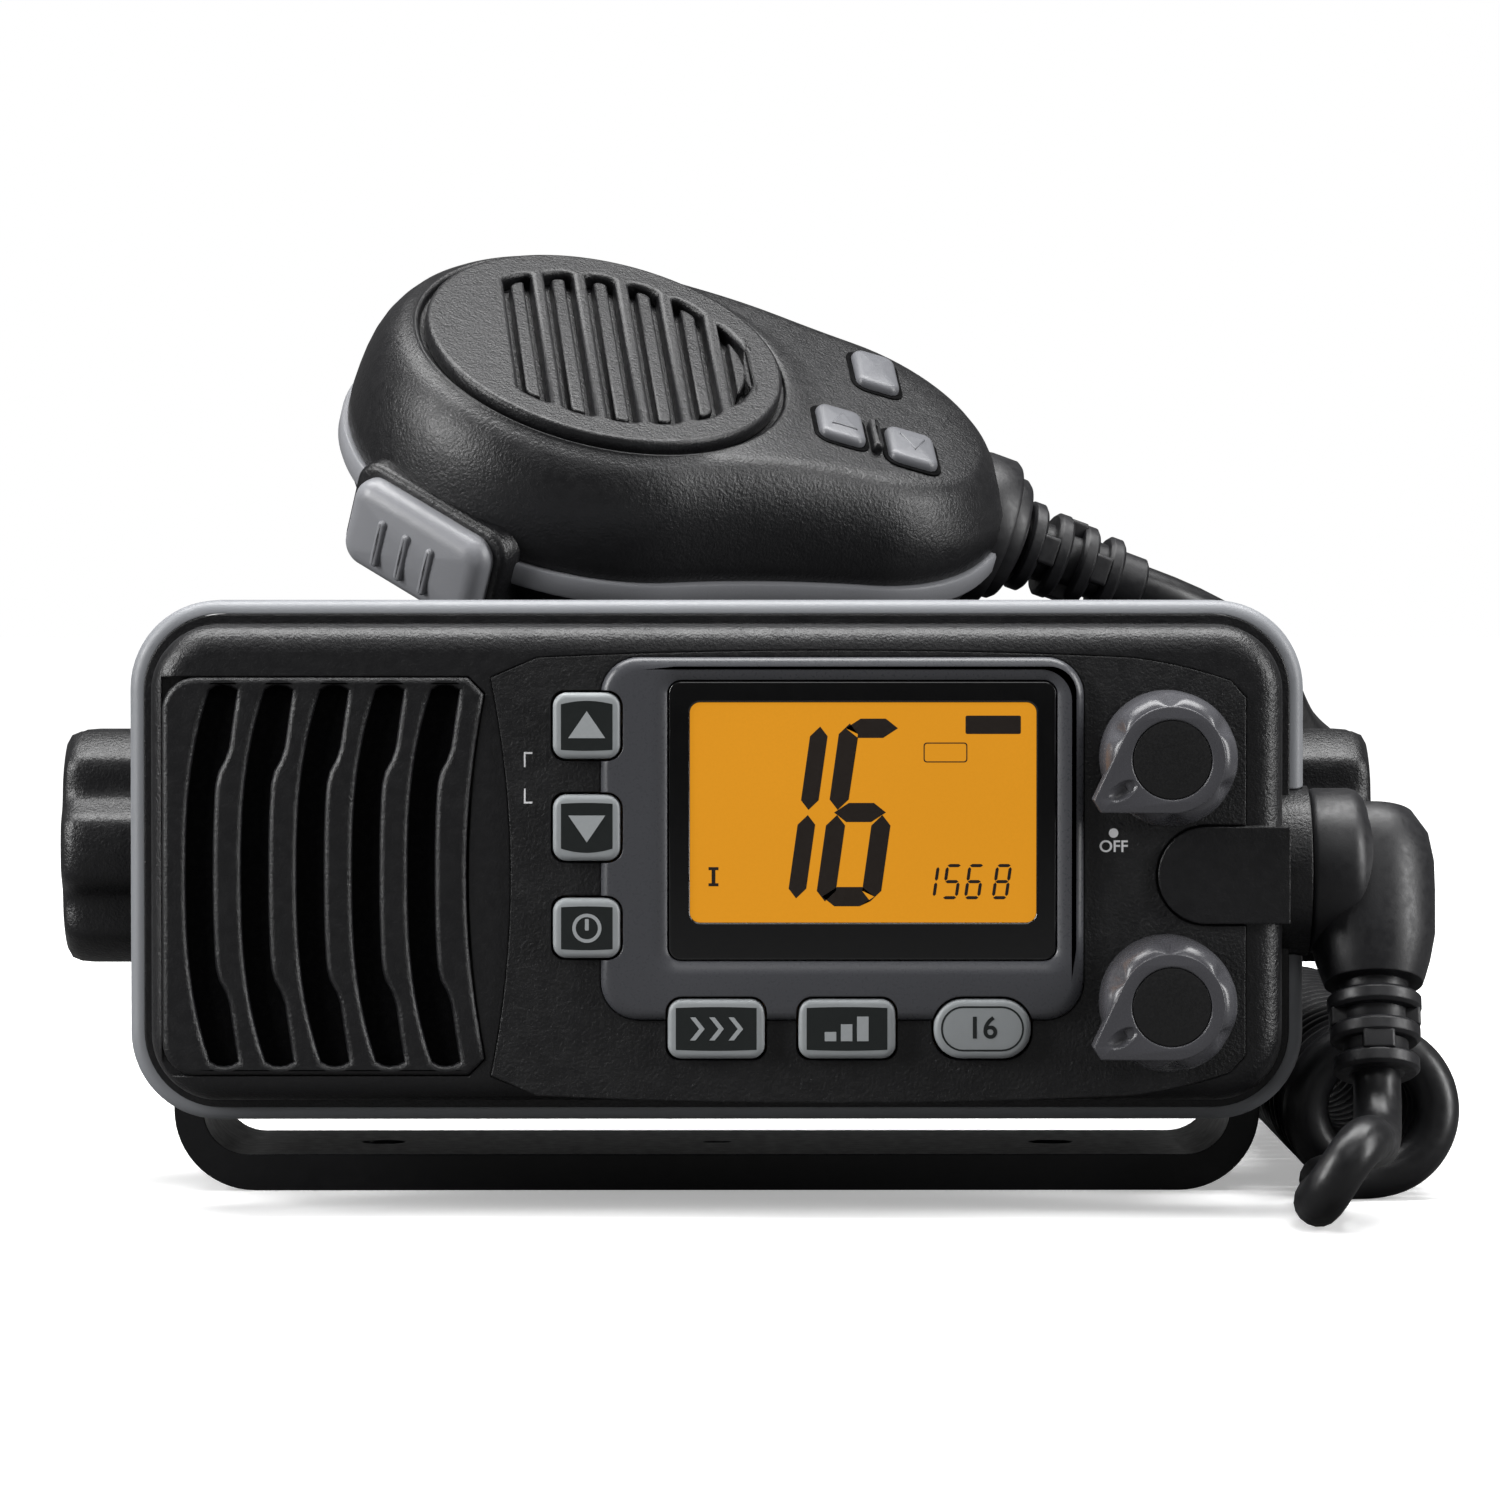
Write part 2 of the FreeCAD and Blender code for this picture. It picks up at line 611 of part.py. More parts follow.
def make_speaker_grille():
    body = new_body("speaker_grille")
    sketch = front_sketch(body, "front_reach - recess_depth")
    grille_outline(sketch, "0")
    pad(body, sketch, "recess_depth + insert_proud")
    slot = front_sketch(body, FASCIA_FACE, "-slot_first", "-1.6")
    swing = "slot_swing"
    outline(slot, (
        ("slot_width / 2", "0"),
        ("slot_width / 2", "slot_half_height * 0.6"),
        ("slot_width * 0.4 + " + swing, "slot_half_height"),
        (swing + " - slot_width * 0.2", "slot_half_height", "slot_half_height * 4"),
        ("-slot_width / 2", "0", "slot_half_height * 4"),
        (swing + " - slot_width * 0.2", "-slot_half_height"),
        ("slot_width * 0.4 + " + swing, "-slot_half_height"),
        ("slot_width / 2", "-slot_half_height * 0.6"),
    ))
    opening = cut(body, slot, "recess_depth + insert_proud")
    axis = next(item for item in body.Origin.OriginFeatures if item.Role == "X_Axis")
    repeat(body, opening, (axis, [""]), "slot_pitch * (slot_count - 1)", "slot_count")
    return body


def make_control_fascia():
    body = new_body("control_fascia")
    sketch = front_sketch(body, "front_reach - recess_depth")
    fascia_outline(sketch, "0")
    pad(body, sketch, "recess_depth + insert_proud")
    cut_rectangle(body, FASCIA_FACE, "bezel_width + 2 * fit_gap", "bezel_height + 2 * fit_gap",
                  "bezel_corner + fit_gap", "recess_depth + insert_proud", "bezel_across", "bezel_up")
    key_holes(body, FASCIA_FACE, "recess_depth + insert_proud")
    shaft_holes(body, FASCIA_FACE, "shaft_radius + running_gap + bushing_wall + free_gap",
                "recess_depth + insert_proud")
    return body


def make_display():
    """Bezel, lens, liquid crystal cell and backlight, one behind the other."""
    depth = "recess_depth + insert_proud + bezel_proud"
    bezel = block("display_bezel", "bezel_width", "bezel_height", "bezel_corner",
                  "front_reach - recess_depth", depth, "bezel_across", "bezel_up")
    soften(bezel, "1", level(1, -value("front_reach + insert_proud + bezel_proud")))
    cut_rectangle(bezel, FASCIA_FACE + " + bezel_proud", "lens_width + 2 * fit_gap",
                  "lens_height + 2 * fit_gap", "lens_corner + fit_gap", depth, "lens_across", "lens_up")
    key_holes(bezel, FASCIA_FACE + " + bezel_proud", depth)
    lens = block("display_lens", "lens_width", "lens_height", "lens_corner",
                 "front_reach - recess_depth", "lens_thickness + 0.8", "lens_across", "lens_up")
    soften(lens, "0.5", level(1, -value("front_reach - recess_depth + lens_thickness + 0.8")))
    block("lcd_module", "lens_width - 3", "lens_height - 3", "1",
          "front_reach - recess_depth - lcd_thickness", "lcd_thickness", "lens_across", "lens_up")
    block("lcd_backlight", "lens_width - 3", "lens_height - 3", "1",
          "front_reach - recess_depth - lcd_thickness - light_thickness", "light_thickness",
          "lens_across", "lens_up")


def make_keys():
    """Each key is a rubber cap on a stem that reaches the keypad's web."""
    web_front = "front_board_front + membrane_thickness"
    flange_front = "(front_reach - front_wall - free_gap)"
    for name, across, above, width, height, corner in KEYS:
        body = block(name, width, height, corner, flange_front,
                     "front_wall + free_gap + insert_proud + key_proud", across, above)
        soften(body, "0.5", level(1, -value(FASCIA_FACE + " + key_proud")))
        flange = front_sketch(body, flange_front + " - key_flange", across, above)
        rounded_rectangle(flange, width + " + 2 * key_flange", height + " + 2 * key_flange", corner)
        pad(body, flange, "key_flange")
        stem = front_sketch(body, web_front + " + key_travel", across, above)
        ring(stem, "key_stem")
        pad(body, stem, "%s - key_flange - (%s) - key_travel" % (flange_front, web_front))
    web = block("keypad_membrane", "66", "50", "3", "front_board_front", "membrane_thickness", "10", "0")
    cut_rectangle(web, web_front, "lens_width + 1", "lens_height + 1", "2", "membrane_thickness",
                  "lens_across + 2", "lens_up + 1")
    board = block("front_circuit_board", "front_board_width", "front_board_height", "4",
                  "front_board_front - board_thickness", "board_thickness")
    cut_circle(board, "front_board_front", "speaker_radius + 0.6", "board_thickness",
               "-speaker_across", "-1.6")


def make_speaker():
    """Loudspeaker: basket, cone and magnet behind the grille."""
    at = ("-speaker_across", "front_wall - front_reach", "pivot_height - 1.6")
    turned("speaker_basket", (
        ("speaker_radius - 2.5", "0"), ("speaker_radius", "0"), ("speaker_radius", "1.2"),
        ("speaker_radius - 1", "1.2"), ("speaker_radius * 0.62", "speaker_depth * 0.6"),
        ("speaker_radius * 0.62 - 1.2", "speaker_depth * 0.6"), ("speaker_radius - 2.5", "1.2"),
    ), at, BACK)
    turned("speaker_cone", (
        ("0.01", "speaker_depth * 0.32"), ("speaker_radius * 0.28", "speaker_depth * 0.32"),
        ("speaker_radius - 2.7", "0.2"), ("speaker_radius - 2.7", "0.8"),
        ("speaker_radius * 0.28", "speaker_depth * 0.5"), ("0.01", "speaker_depth * 0.5"),
    ), at, BACK)
    turned("speaker_magnet", (
        ("0.01", "speaker_depth * 0.6"), ("speaker_radius * 0.62", "speaker_depth * 0.6"),
        ("speaker_radius * 0.62", "speaker_depth"), ("0.01", "speaker_depth"),
    ), at, BACK)


def make_dial(name, above):
    """A rotary knob, its dark cap and shaft turn together; the control and its bushing stay."""
    centre = ("dial_across", "-(%s + free_gap)" % FASCIA_FACE, "pivot_height + " + above)
    tilt = Rotation(UP, FRONT)
    knob = new_body(name + "_knob", centre, tilt)
    add_turning(knob, (
        ("shaft_radius + fit_gap", "0"), ("dial_radius", "0"),
        ("dial_radius - 0.3", "dial_height * 0.72"), ("dial_radius - 1.8", "dial_height"),
        ("dial_cap_radius + fit_gap", "dial_height"),
        ("dial_cap_radius + fit_gap", "dial_height - 1.2"), ("shaft_radius + fit_gap", "dial_height - 1.2"),
    ))
    lobe = sketch_on(knob, "XY_Plane", "0", "dial_radius - 1.6")
    ring(lobe, "1.6 + dial_flute_depth")
    lobe_pad = pad(knob, lobe, "dial_height * 0.5")
    axis = next(item for item in knob.Origin.OriginFeatures if item.Role == "Z_Axis")
    repeat_round(knob, lobe_pad, (axis, [""]), "dial_flutes")
    pointer = sketch_on(knob, "XY_Plane", "dial_pointer_lift")
    outline(pointer, (
        ("dial_pointer_reach", "0"), ("dial_cap_radius + 1.2", "4.4"), ("dial_cap_radius + 1.2", "-4.4"),
    ))
    pad(knob, pointer, "dial_height * 0.6")
    turned(name + "_knob_cap", (
        ("0.01", "dial_height - 1.2"), ("dial_cap_radius", "dial_height - 1.2"),
        ("dial_cap_radius", "dial_height - 0.4"), ("dial_cap_radius - 0.6", "dial_height + 0.2"),
        ("0.01", "dial_height + 0.3"),
    ), centre, FRONT)
    turned(name + "_shaft", (
        ("0.01", "-(front_wall + insert_proud + free_gap)"),
        ("shaft_radius", "-(front_wall + insert_proud + free_gap)"),
        ("shaft_radius", "dial_height - 1.2"), ("0.01", "dial_height - 1.2"),
    ), centre, FRONT)
    turned(name + "_control", (
        ("0.01", "0"), ("6.4", "0"), ("6.4", "front_reach - front_wall - front_board_front"),
        ("shaft_radius + running_gap + bushing_wall",
         "front_reach - front_wall - front_board_front"),
        ("shaft_radius + running_gap + bushing_wall", "%s - front_board_front" % FASCIA_FACE),
        ("shaft_radius + running_gap", "%s - front_board_front" % FASCIA_FACE),
        ("shaft_radius + running_gap", "front_reach - front_wall - front_board_front - 0.3"),
        ("0.01", "front_reach - front_wall - front_board_front - 0.3"),
    ), ("dial_across", "-front_board_front", "pivot_height + " + above), FRONT)


# Chassis and what it holds

CHASSIS_FRONT = "(front_reach - housing_depth - gasket_thickness)"


def make_chassis():
    gasket = block("housing_gasket", "chassis_width - 1", "chassis_height - 1", "chassis_corner",
                   CHASSIS_FRONT, "gasket_thickness")
    cut_rectangle(gasket, HOUSING_REAR, "chassis_width - 8", "chassis_height - 8",
                  "chassis_corner - 3.5", "gasket_thickness")
    body = new_body("rear_chassis")
    shell = front_sketch(body, CHASSIS_FRONT)
    rounded_rectangle(shell, "chassis_width", "chassis_height", "chassis_corner")
    pad(body, shell, "%s + chassis_back" % CHASSIS_FRONT, reverse=True)
    soften(body, "3", level(1, value("chassis_back")))
    inside = front_sketch(body, CHASSIS_FRONT)
    rounded_rectangle(inside, "chassis_width - 2 * chassis_wall", "chassis_height - 2 * chassis_wall",
                      "chassis_corner - chassis_wall")
    cut(body, inside, "%s + chassis_back - chassis_wall" % CHASSIS_FRONT)
    fin = front_sketch(body, "-chassis_back", "-fin_pitch * (fin_count - 1) / 2")
    rounded_rectangle(fin, "fin_thickness", "chassis_height - 14", "0.6")
    fin_pad = pad(body, fin, "fin_depth", reverse=True)
    axis = next(item for item in body.Origin.OriginFeatures if item.Role == "X_Axis")
    repeat(body, fin_pad, (axis, [""]), "fin_pitch * (fin_count - 1)", "fin_count")
    holes = sketch_on(body, "YZ_Plane", "chassis_width / 2", "0", "pivot_height")
    ring(holes, "insert_radius + fit_gap")
    cut(body, holes, "chassis_width")
    for across in ("-rear_post_across", "rear_post_across"):
        cut_circle(body, "-chassis_back + chassis_wall", "gland_radius - 1.2 + fit_gap",
                   "chassis_wall", across)
    posts = sketch_on(body, "XY_Plane", "pivot_height - chassis_height / 2 + chassis_wall")
    for across in ("-53", "53"):
        for back in ("-22", "58"):
            ring(posts, "3", across, back)
    pad(body, posts, "chassis_height / 2 - chassis_wall - main_board_down")
    board = new_body("main_circuit_board")
    main_board = sketch_on(body=board, role="XY_Plane", offset="pivot_height - main_board_down",
                           up="18")
    rounded_rectangle(main_board, "118", "88", "2")
    pad(board, main_board, "board_thickness")
    amplifier = block("power_amplifier", "46", "14", "1", "-chassis_back + chassis_wall", "30", "0",
                      "board_thickness - main_board_down + 7")
    soften(amplifier, "0.8", level(1, value("chassis_back - chassis_wall - 30")))
    turned("antenna_socket", (
        ("0.01", "-8"), ("gland_radius - 1.2", "-8"), ("gland_radius - 1.2", "0"),
        ("socket_radius + 2.4", "0"), ("socket_radius + 2.4", "1.6"), ("socket_radius", "1.6"),
        ("socket_radius", "socket_length"), ("socket_bore", "socket_length"), ("socket_bore", "6"),
        ("2", "6"), ("2", "socket_length - 4"), ("0.01", "socket_length - 4"),
    ), ("-rear_post_across", "chassis_back", "pivot_height"), BACK)
    turned("power_lead_gland", (
        ("gland_bore", "-6"), ("gland_radius - 1.2", "-6"), ("gland_radius - 1.2", "0"),
        ("gland_radius + 1.6", "0"), ("gland_radius + 1.6", "2.4"), ("gland_radius", "3"),
        ("gland_radius - 1", "gland_length"), ("gland_bore", "gland_length"),
    ), ("rear_post_across", "chassis_back", "pivot_height"), BACK)


def make_screws():
    """Four screws hold the chassis to the front housing from behind."""
    screws = []
    for side in (-1, 1):
        for lift in (-1, 1):
            x = side * value("chassis_width / 2 - chassis_corner")
            z = value("pivot_height") + lift * value("chassis_height / 2 - chassis_corner")
            head = Part.makeCylinder(2.9, 1.8, Vector(x, value("chassis_back"), z), BACK)
            slot = Part.makeBox(5.8, 1, 0.8, Vector(x - 2.9, value("chassis_back") + 1, z - 0.4))
            screws.append(head.cut(slot))
    add_shape("chassis_screws", Part.makeCompound(screws))


def make_pivots():
    """Threaded inserts in the chassis sides and the grip washers outside them."""
    inserts = []
    washers = []
    for side, towards in ((-1, LEFT), (1, RIGHT)):
        face = value("chassis_width / 2")
        centre = Vector(side * face, 0, value("pivot_height"))
        inner = centre - towards * value("insert_length")
        barrel = Part.makeCylinder(value("insert_radius"), value("insert_length"), inner, towards)
        bore = Part.makeCylinder(value("clamp_stud_radius + running_gap"), value("insert_length"),
                                 inner, towards)
        inserts.append(barrel.cut(bore))
        gap = value("bracket_width / 2 - arm_thickness - chassis_width / 2")
        washer = Part.makeCylinder(value("washer_radius"), gap, centre, towards)
        washers.append(washer.cut(Part.makeCylinder(value("clamp_stud_radius + free_gap"), gap,
                                                    centre, towards)))
    add_shape("pivot_inserts", Part.makeCompound(inserts))
    add_shape("grip_washers", Part.makeCompound(washers))


# Bracket and its two knobs

def make_bracket():
    """A bent strap: a foot plate and two arms that end round the pivot."""
    body = new_body("bracket")
    outer = sketch_on(body, "XZ_Plane", "-bracket_depth / 2")
    half = "(bracket_width / 2)"
    inner = "(bracket_width / 2 - arm_thickness)"
    bend = "bracket_bend"
    inner_bend = "(bracket_bend - arm_thickness - 1)"
    lift = "(foot_thickness + bracket_bend - arm_thickness - 1)"
    top = "(pivot_height + bracket_depth / 2)"
    outline(outer, (
        ("-%s + %s" % (half, bend), "0"),
        ("%s - %s" % (half, bend), "0", bend + " * 1.0001"),
        (half, bend),
        (half, top),
        (inner, top),
        (inner, lift, "-" + inner_bend + " * 1.0001"),
        ("%s - %s" % (inner, inner_bend), "foot_thickness"),
        ("-%s + %s" % (inner, inner_bend), "foot_thickness", "-" + inner_bend + " * 1.0001"),
        ("-" + inner, lift),
        ("-" + inner, top),
        ("-" + half, top),
        ("-" + half, bend, bend + " * 1.0001"),
    ))
    pad(body, outer, "bracket_depth")
    round_ends = sketch_on(body, "YZ_Plane", "bracket_width / 2", "0", "pivot_height")
    outline(round_ends, (
        ("bracket_depth / 2", "0"), ("bracket_depth / 2 + 2", "0"),
        ("bracket_depth / 2 + 2", "bracket_depth / 2 + 2"),
        ("-bracket_depth / 2 - 2", "bracket_depth / 2 + 2"), ("-bracket_depth / 2 - 2", "0"),
        ("-bracket_depth / 2", "0", "-bracket_depth / 2 * 1.0001"),
    ))
    cut(body, round_ends, "bracket_width")
    pivots = sketch_on(body, "YZ_Plane", "bracket_width / 2", "0", "pivot_height")
    ring(pivots, "clamp_stud_radius + running_gap")
    cut(body, pivots, "bracket_width")
    feet = sketch_on(body, "XY_Plane", "foot_thickness")
    ring(feet, "foot_hole_radius", "-foot_hole_spacing / 2")
    ring(feet, "foot_hole_radius", "foot_hole_spacing / 2")
    cut(body, feet, "foot_thickness")
    middle = sketch_on(body, "XY_Plane", "foot_thickness")
    rounded_rectangle(middle, "centre_slot_length", "2 * centre_slot_radius",
                      "centre_slot_radius * 0.98")
    cut(body, middle, "foot_thickness")
    return body


def make_clamp_knob(name, side):
    """A lobed hand knob with its threaded stud through the arm into the chassis."""
    at = ("%d * bracket_width / 2" % side, "0", "pivot_height")
    body = new_body(name, at, Rotation(UP, RIGHT if side > 0 else LEFT))
    add_turning(body, (
        ("0.01", "-(arm_thickness + clamp_stud_length)"),
        ("clamp_stud_radius", "-(arm_thickness + clamp_stud_length)"),
        ("clamp_stud_radius", "0"), ("clamp_radius - 3", "0"), ("clamp_radius - 1.2", "1.2"),
        ("clamp_radius", "clamp_depth * 0.35"), ("clamp_radius", "clamp_depth - 1.6"),
        ("clamp_radius - 1.6", "clamp_depth"), ("clamp_radius - 5", "clamp_depth"),
        ("clamp_radius - 6", "clamp_depth - 1.4"), ("0.01", "clamp_depth - 1.4"),
    ))
    lobe = sketch_on(body, "XY_Plane", "1.2", "clamp_radius - 4.6")
    ring(lobe, "4.6 + clamp_lobe")
    lobe_pad = pad(body, lobe, "clamp_depth - 2.4")
    axis = next(item for item in body.Origin.OriginFeatures if item.Role == "Z_Axis")
    repeat_round(body, lobe_pad, (axis, [""]), "clamp_lobes")
    return body


# Microphone cord, its plug boot and its curls

def corner_point(start, corner, end, share):
    """Where an arc leaves the run from corner to start, its middle and where it joins the next."""
    back = (start - corner).normalize()
    ahead = (end - corner).normalize()
    reach = share * min((start - corner).Length, (end - corner).Length)
    half_turn = (math.pi - back.getAngle(ahead)) / 2
    radius = reach / math.tan(half_turn)
    middle = corner + (back + ahead).normalize() * (radius / math.cos(half_turn) - radius)
    return corner + back * reach, middle, corner + ahead * reach, radius


def tube(name, route, radius):
    """A round tube on straight runs joined by tangent arcs; prints its radii and its length."""
    edges = []
    radii = []
    here = route[0]
    for start, corner, end in zip(route, route[1:], route[2:]):
        first, middle, last, bend = corner_point(start, corner, end, 0.45)
        edges.append(Part.LineSegment(here, first).toShape())
        edges.append(Part.Arc(first, middle, last).toShape())
        radii.append(bend)
        here = last
    edges.append(Part.LineSegment(here, route[-1]).toShape())
    path = Part.Wire(edges)
    ring_edge = Part.makeCircle(radius, route[0], route[1] - route[0])
    solid = path.makePipeShell([Part.Wire([ring_edge])], True, False)
    expected = math.pi * radius ** 2 * path.Length
    print("%s: length %.1f, bend radii %s, volume %.3f of section times length" % (
        name, path.Length, " ".join("%.1f" % bend for bend in radii), solid.Volume / expected))
    return solid


def biarc(start, start_way, end, end_way):
    """Two arcs that leave start along one way and reach end along another."""
    span = end - start
    ways = start_way + end_way
    square = 2 * (start_way.dot(end_way) - 1)
    linear = -2 * span.dot(ways)
    constant = span.dot(span)
    root = math.sqrt(linear ** 2 - 4 * square * constant)
    leg = (-linear - root) / (2 * square)
    if leg < 0:
        leg = (-linear + root) / (2 * square)
    first_corner = start + start_way * leg
    second_corner = end - end_way * leg
    joint = (first_corner + second_corner) / 2
    arcs = []
    for begin, corner, finish in ((start, first_corner, joint), (joint, second_corner, end)):
        middle = corner_point(begin, corner, finish, 1)[1]
        arcs.append(Part.Arc(begin, middle, finish).toShape())
    return arcs


def curl_point(turn):
    """Centre line of the curls after a number of turns, from the lowest point of the first."""
    angle = 2 * math.pi * turn
    radius = value("curl_radius")
    return Vector(
        value("curl_across") + radius * math.sin(angle),
        value("curl_pitch") * turn - value("curl_front"),
        radius * (1 - math.cos(angle)) + value("cord_radius") + 0.1,
    )


def curl_way(turn):
    angle = 2 * math.pi * turn
    around = 2 * math.pi * value("curl_radius")
    return Vector(around * math.cos(angle), value("curl_pitch"), around * math.sin(angle)).normalize()


def make_curls():
    """The curly stretch: one unbroken tube of flat-sided section with straight ends."""
    quarters = int(round(4 * value("curl_turns"))) + 1
    ends_at = quarters / 4
    straight = 2 * value("cord_radius")
    bend = value("curl_radius")
    lead_way = Vector(0, 1, 0)
    side = Vector(curl_way(0).y, -curl_way(0).x, 0)
    centre = curl_point(0) + side * bend
    lead = centre + LEFT * bend
    first = lead - lead_way * straight
    last = curl_point(ends_at) + curl_way(ends_at) * straight
    lead_middle = centre + (LEFT - side).normalize() * bend
    edges = [
        Part.LineSegment(first, lead).toShape(),
        Part.Arc(lead, lead_middle, curl_point(0)).toShape(),
    ]
    for quarter in range(quarters):
        start = quarter / 4
        end = start + 0.25
        edges.extend(biarc(curl_point(start), curl_way(start), curl_point(end), curl_way(end)))
    edges.append(Part.LineSegment(curl_point(ends_at), last).toShape())
    path = Part.Wire(edges)
    sides = 7
    across = lead_way.cross(UP)
    lift = across.cross(lead_way)
    section = [
        first + across * value("cord_radius") * math.sin(2 * math.pi * (side + 0.5) / sides)
        - lift * value("cord_radius") * math.cos(2 * math.pi * (side + 0.5) / sides)
        for side in range(sides)
    ]
    profile = Part.makePolygon(section + [section[0]])
    solid = path.makePipeShell([profile], True, False)
    steps = 24
    least = min(
        (curl_point(0.5) - curl_point(1.5 + step / steps)).Length
        for step in range(-steps // 4, steps // 4)
    )
    print("cord_curl: length %.1f, least gap to itself %.2f" % (
        path.Length, least - 2 * value("cord_radius")))
    add_shape("cord_curl", solid)
    return first, last


def make_plug():
    """Socket insert, seal and right-angle boot of the microphone plug."""
    height = "pivot_height - boss_down"
    at = ("housing_width / 2 - housing_wall + 1", "-boss_front", height)
    turned("microphone_socket", (
        ("0.01", "0"), ("boss_radius - 3.4 - fit_gap", "0"),
        ("boss_radius - 3.4 - fit_gap", "boss_reach - housing_width / 2 + housing_wall - 1.6"),
        ("0.01", "boss_reach - housing_width / 2 + housing_wall - 1.6"),
    ), at, RIGHT)
    radius = value("boot_collar_radius")
    face = Vector(value("boss_reach"), -value("boss_front"), value(height))
    elbow = Vector(value("boot_end_across"), face.y, face.z)
    outlet = Vector(value("boot_end_across"), -value("boot_end_front"), value("boot_end_up"))
    way = (outlet - elbow).normalize()
    length = (outlet - elbow).Length
    collar = Part.makeCylinder(radius, value("boot_collar_length"), face, RIGHT)
    stations = ((-6, 7.4), (0, 8.4), (0.3 * length, 8.2), (0.62 * length, 6.5), (length, 5.8))
    wires = [Part.Wire([Part.makeCircle(size, elbow + way * along, way)]) for along, size in stations]
    boot = collar.fuse(Part.makeLoft(wires, True, False))
    lift = way.cross(RIGHT)
    for index in range(3):
        middle = outlet - way * (3.4 + 4 * index)
        spread = RIGHT if index % 2 else lift
        other = lift if index % 2 else RIGHT
        for side in (-1, 1):
            boot = boot.cut(slot_block(middle, way, spread, other * side, 1.8, 14, 2.9))
    add_shape("mic_plug_boot", boot)
    return outlet, way


def slot_block(middle, way, spread, outward, thickness, width, start):
    """A block for a relief slot: it begins at start from the axis and runs outward."""
    corner = middle - spread * (width / 2) + outward * start
    frame = Matrix(
        way.x, spread.x, outward.x, corner.x,
        way.y, spread.y, outward.y, corner.y,
        way.z, spread.z, outward.z, corner.z,
        0, 0, 0, 1,
    )
    return Part.makeBox(thickness, width, 8).transformGeometry(frame)


def make_cord(mic_exit, mic_way):
    """The cord's free stretches, from the boot to the curls and from the curls to the microphone."""
    outlet, outlet_way = make_plug()
    front_end, rear_end = make_curls()
    rear_way = curl_way(int(round(4 * value("curl_turns"))) / 4 + 0.25)
    lower = (
        outlet, outlet + outlet_way * 11.2, Vector(82.8, -82, 13.4), Vector(76.4, -82, 3.3),
        Vector(78, -65, 3.3), front_end - Vector(0, 8, 0), front_end,
    )
    add_shape("cord_lower", tube("cord_lower", lower, value("cord_radius")))
    upper = (
        rear_end, rear_end + rear_way * 8, Vector(96.5, 104.9, 36), Vector(95.8, 101, 46),
        Vector(94, 93, 53.5), Vector(90.5, 80, 57.5), Vector(86.5, 65, 60), Vector(83, 49, 63.5),
        Vector(79.5, 35, 70.5), mic_exit + mic_way * 12, mic_exit,
    )
    add_shape("cord_upper", tube("cord_upper", upper, value("cord_radius")))


# Microphone, drawn in its own frame: x to the cable end, z out of its face

ALONG = Vector(0.971, 0.195, -0.136)
FACE = Vector(0.217, -0.495, 0.841)


def mic_placement():
    """The microphone lies on its stud and its near edge on top of the chassis."""
    along = Vector(ALONG).normalize()
    face = (FACE - along * FACE.dot(along)).normalize()
    side = face.cross(along)
    centre = Vector(-value("mic_across"), -value("mic_front"), value("mic_up"))
    turn = Matrix(
        along.x, side.x, face.x, centre.x,
        along.y, side.y, face.y, centre.y,
        along.z, side.z, face.z, centre.z,
        0, 0, 0, 1,
    )
    return Placement(turn)


def pear(head, tail, reach, height):
    """Outline of a head circle and a tail circle joined by hollow sides that touch both."""
    neck = value("mic_neck_radius")
    far_head = head + neck
    far_tail = tail + neck
    x = (far_head ** 2 - far_tail ** 2 + reach ** 2) / (2 * reach)
    y = math.sqrt(far_head ** 2 - x ** 2)
    upper = Vector(x, y, 0)
    head_touch = upper * (head / far_head)
    tail_centre = Vector(reach, 0, 0)
    tail_touch = tail_centre + (upper - tail_centre) * (tail / far_tail)
    neck_middle = upper + (Vector((head_touch + tail_touch) / 2) - upper).normalize() * neck

    def low(point):
        return Vector(point.x, -point.y, height)

    def high(point):
        return Vector(point.x, point.y, height)

    return Part.Wire([
        Part.Arc(low(head_touch), low(neck_middle), low(tail_touch)).toShape(),
        Part.Arc(low(tail_touch), Vector(reach + tail, 0, height), high(tail_touch)).toShape(),
        Part.Arc(high(tail_touch), high(neck_middle), high(head_touch)).toShape(),
        Part.Arc(high(head_touch), Vector(-head, 0, height), low(head_touch)).toShape(),
    ])


def pear_loft(stations):
    """A solid through pear outlines, each (head radius, tail radius, tail reach, height)."""
    return Part.makeLoft([pear(*station) for station in stations], True, True)


def edges_at(shape, height):
    return [edge for edge in shape.Edges
            if abs(edge.BoundBox.ZMin - height) < 1e-3 and abs(edge.BoundBox.ZMax - height) < 1e-3]


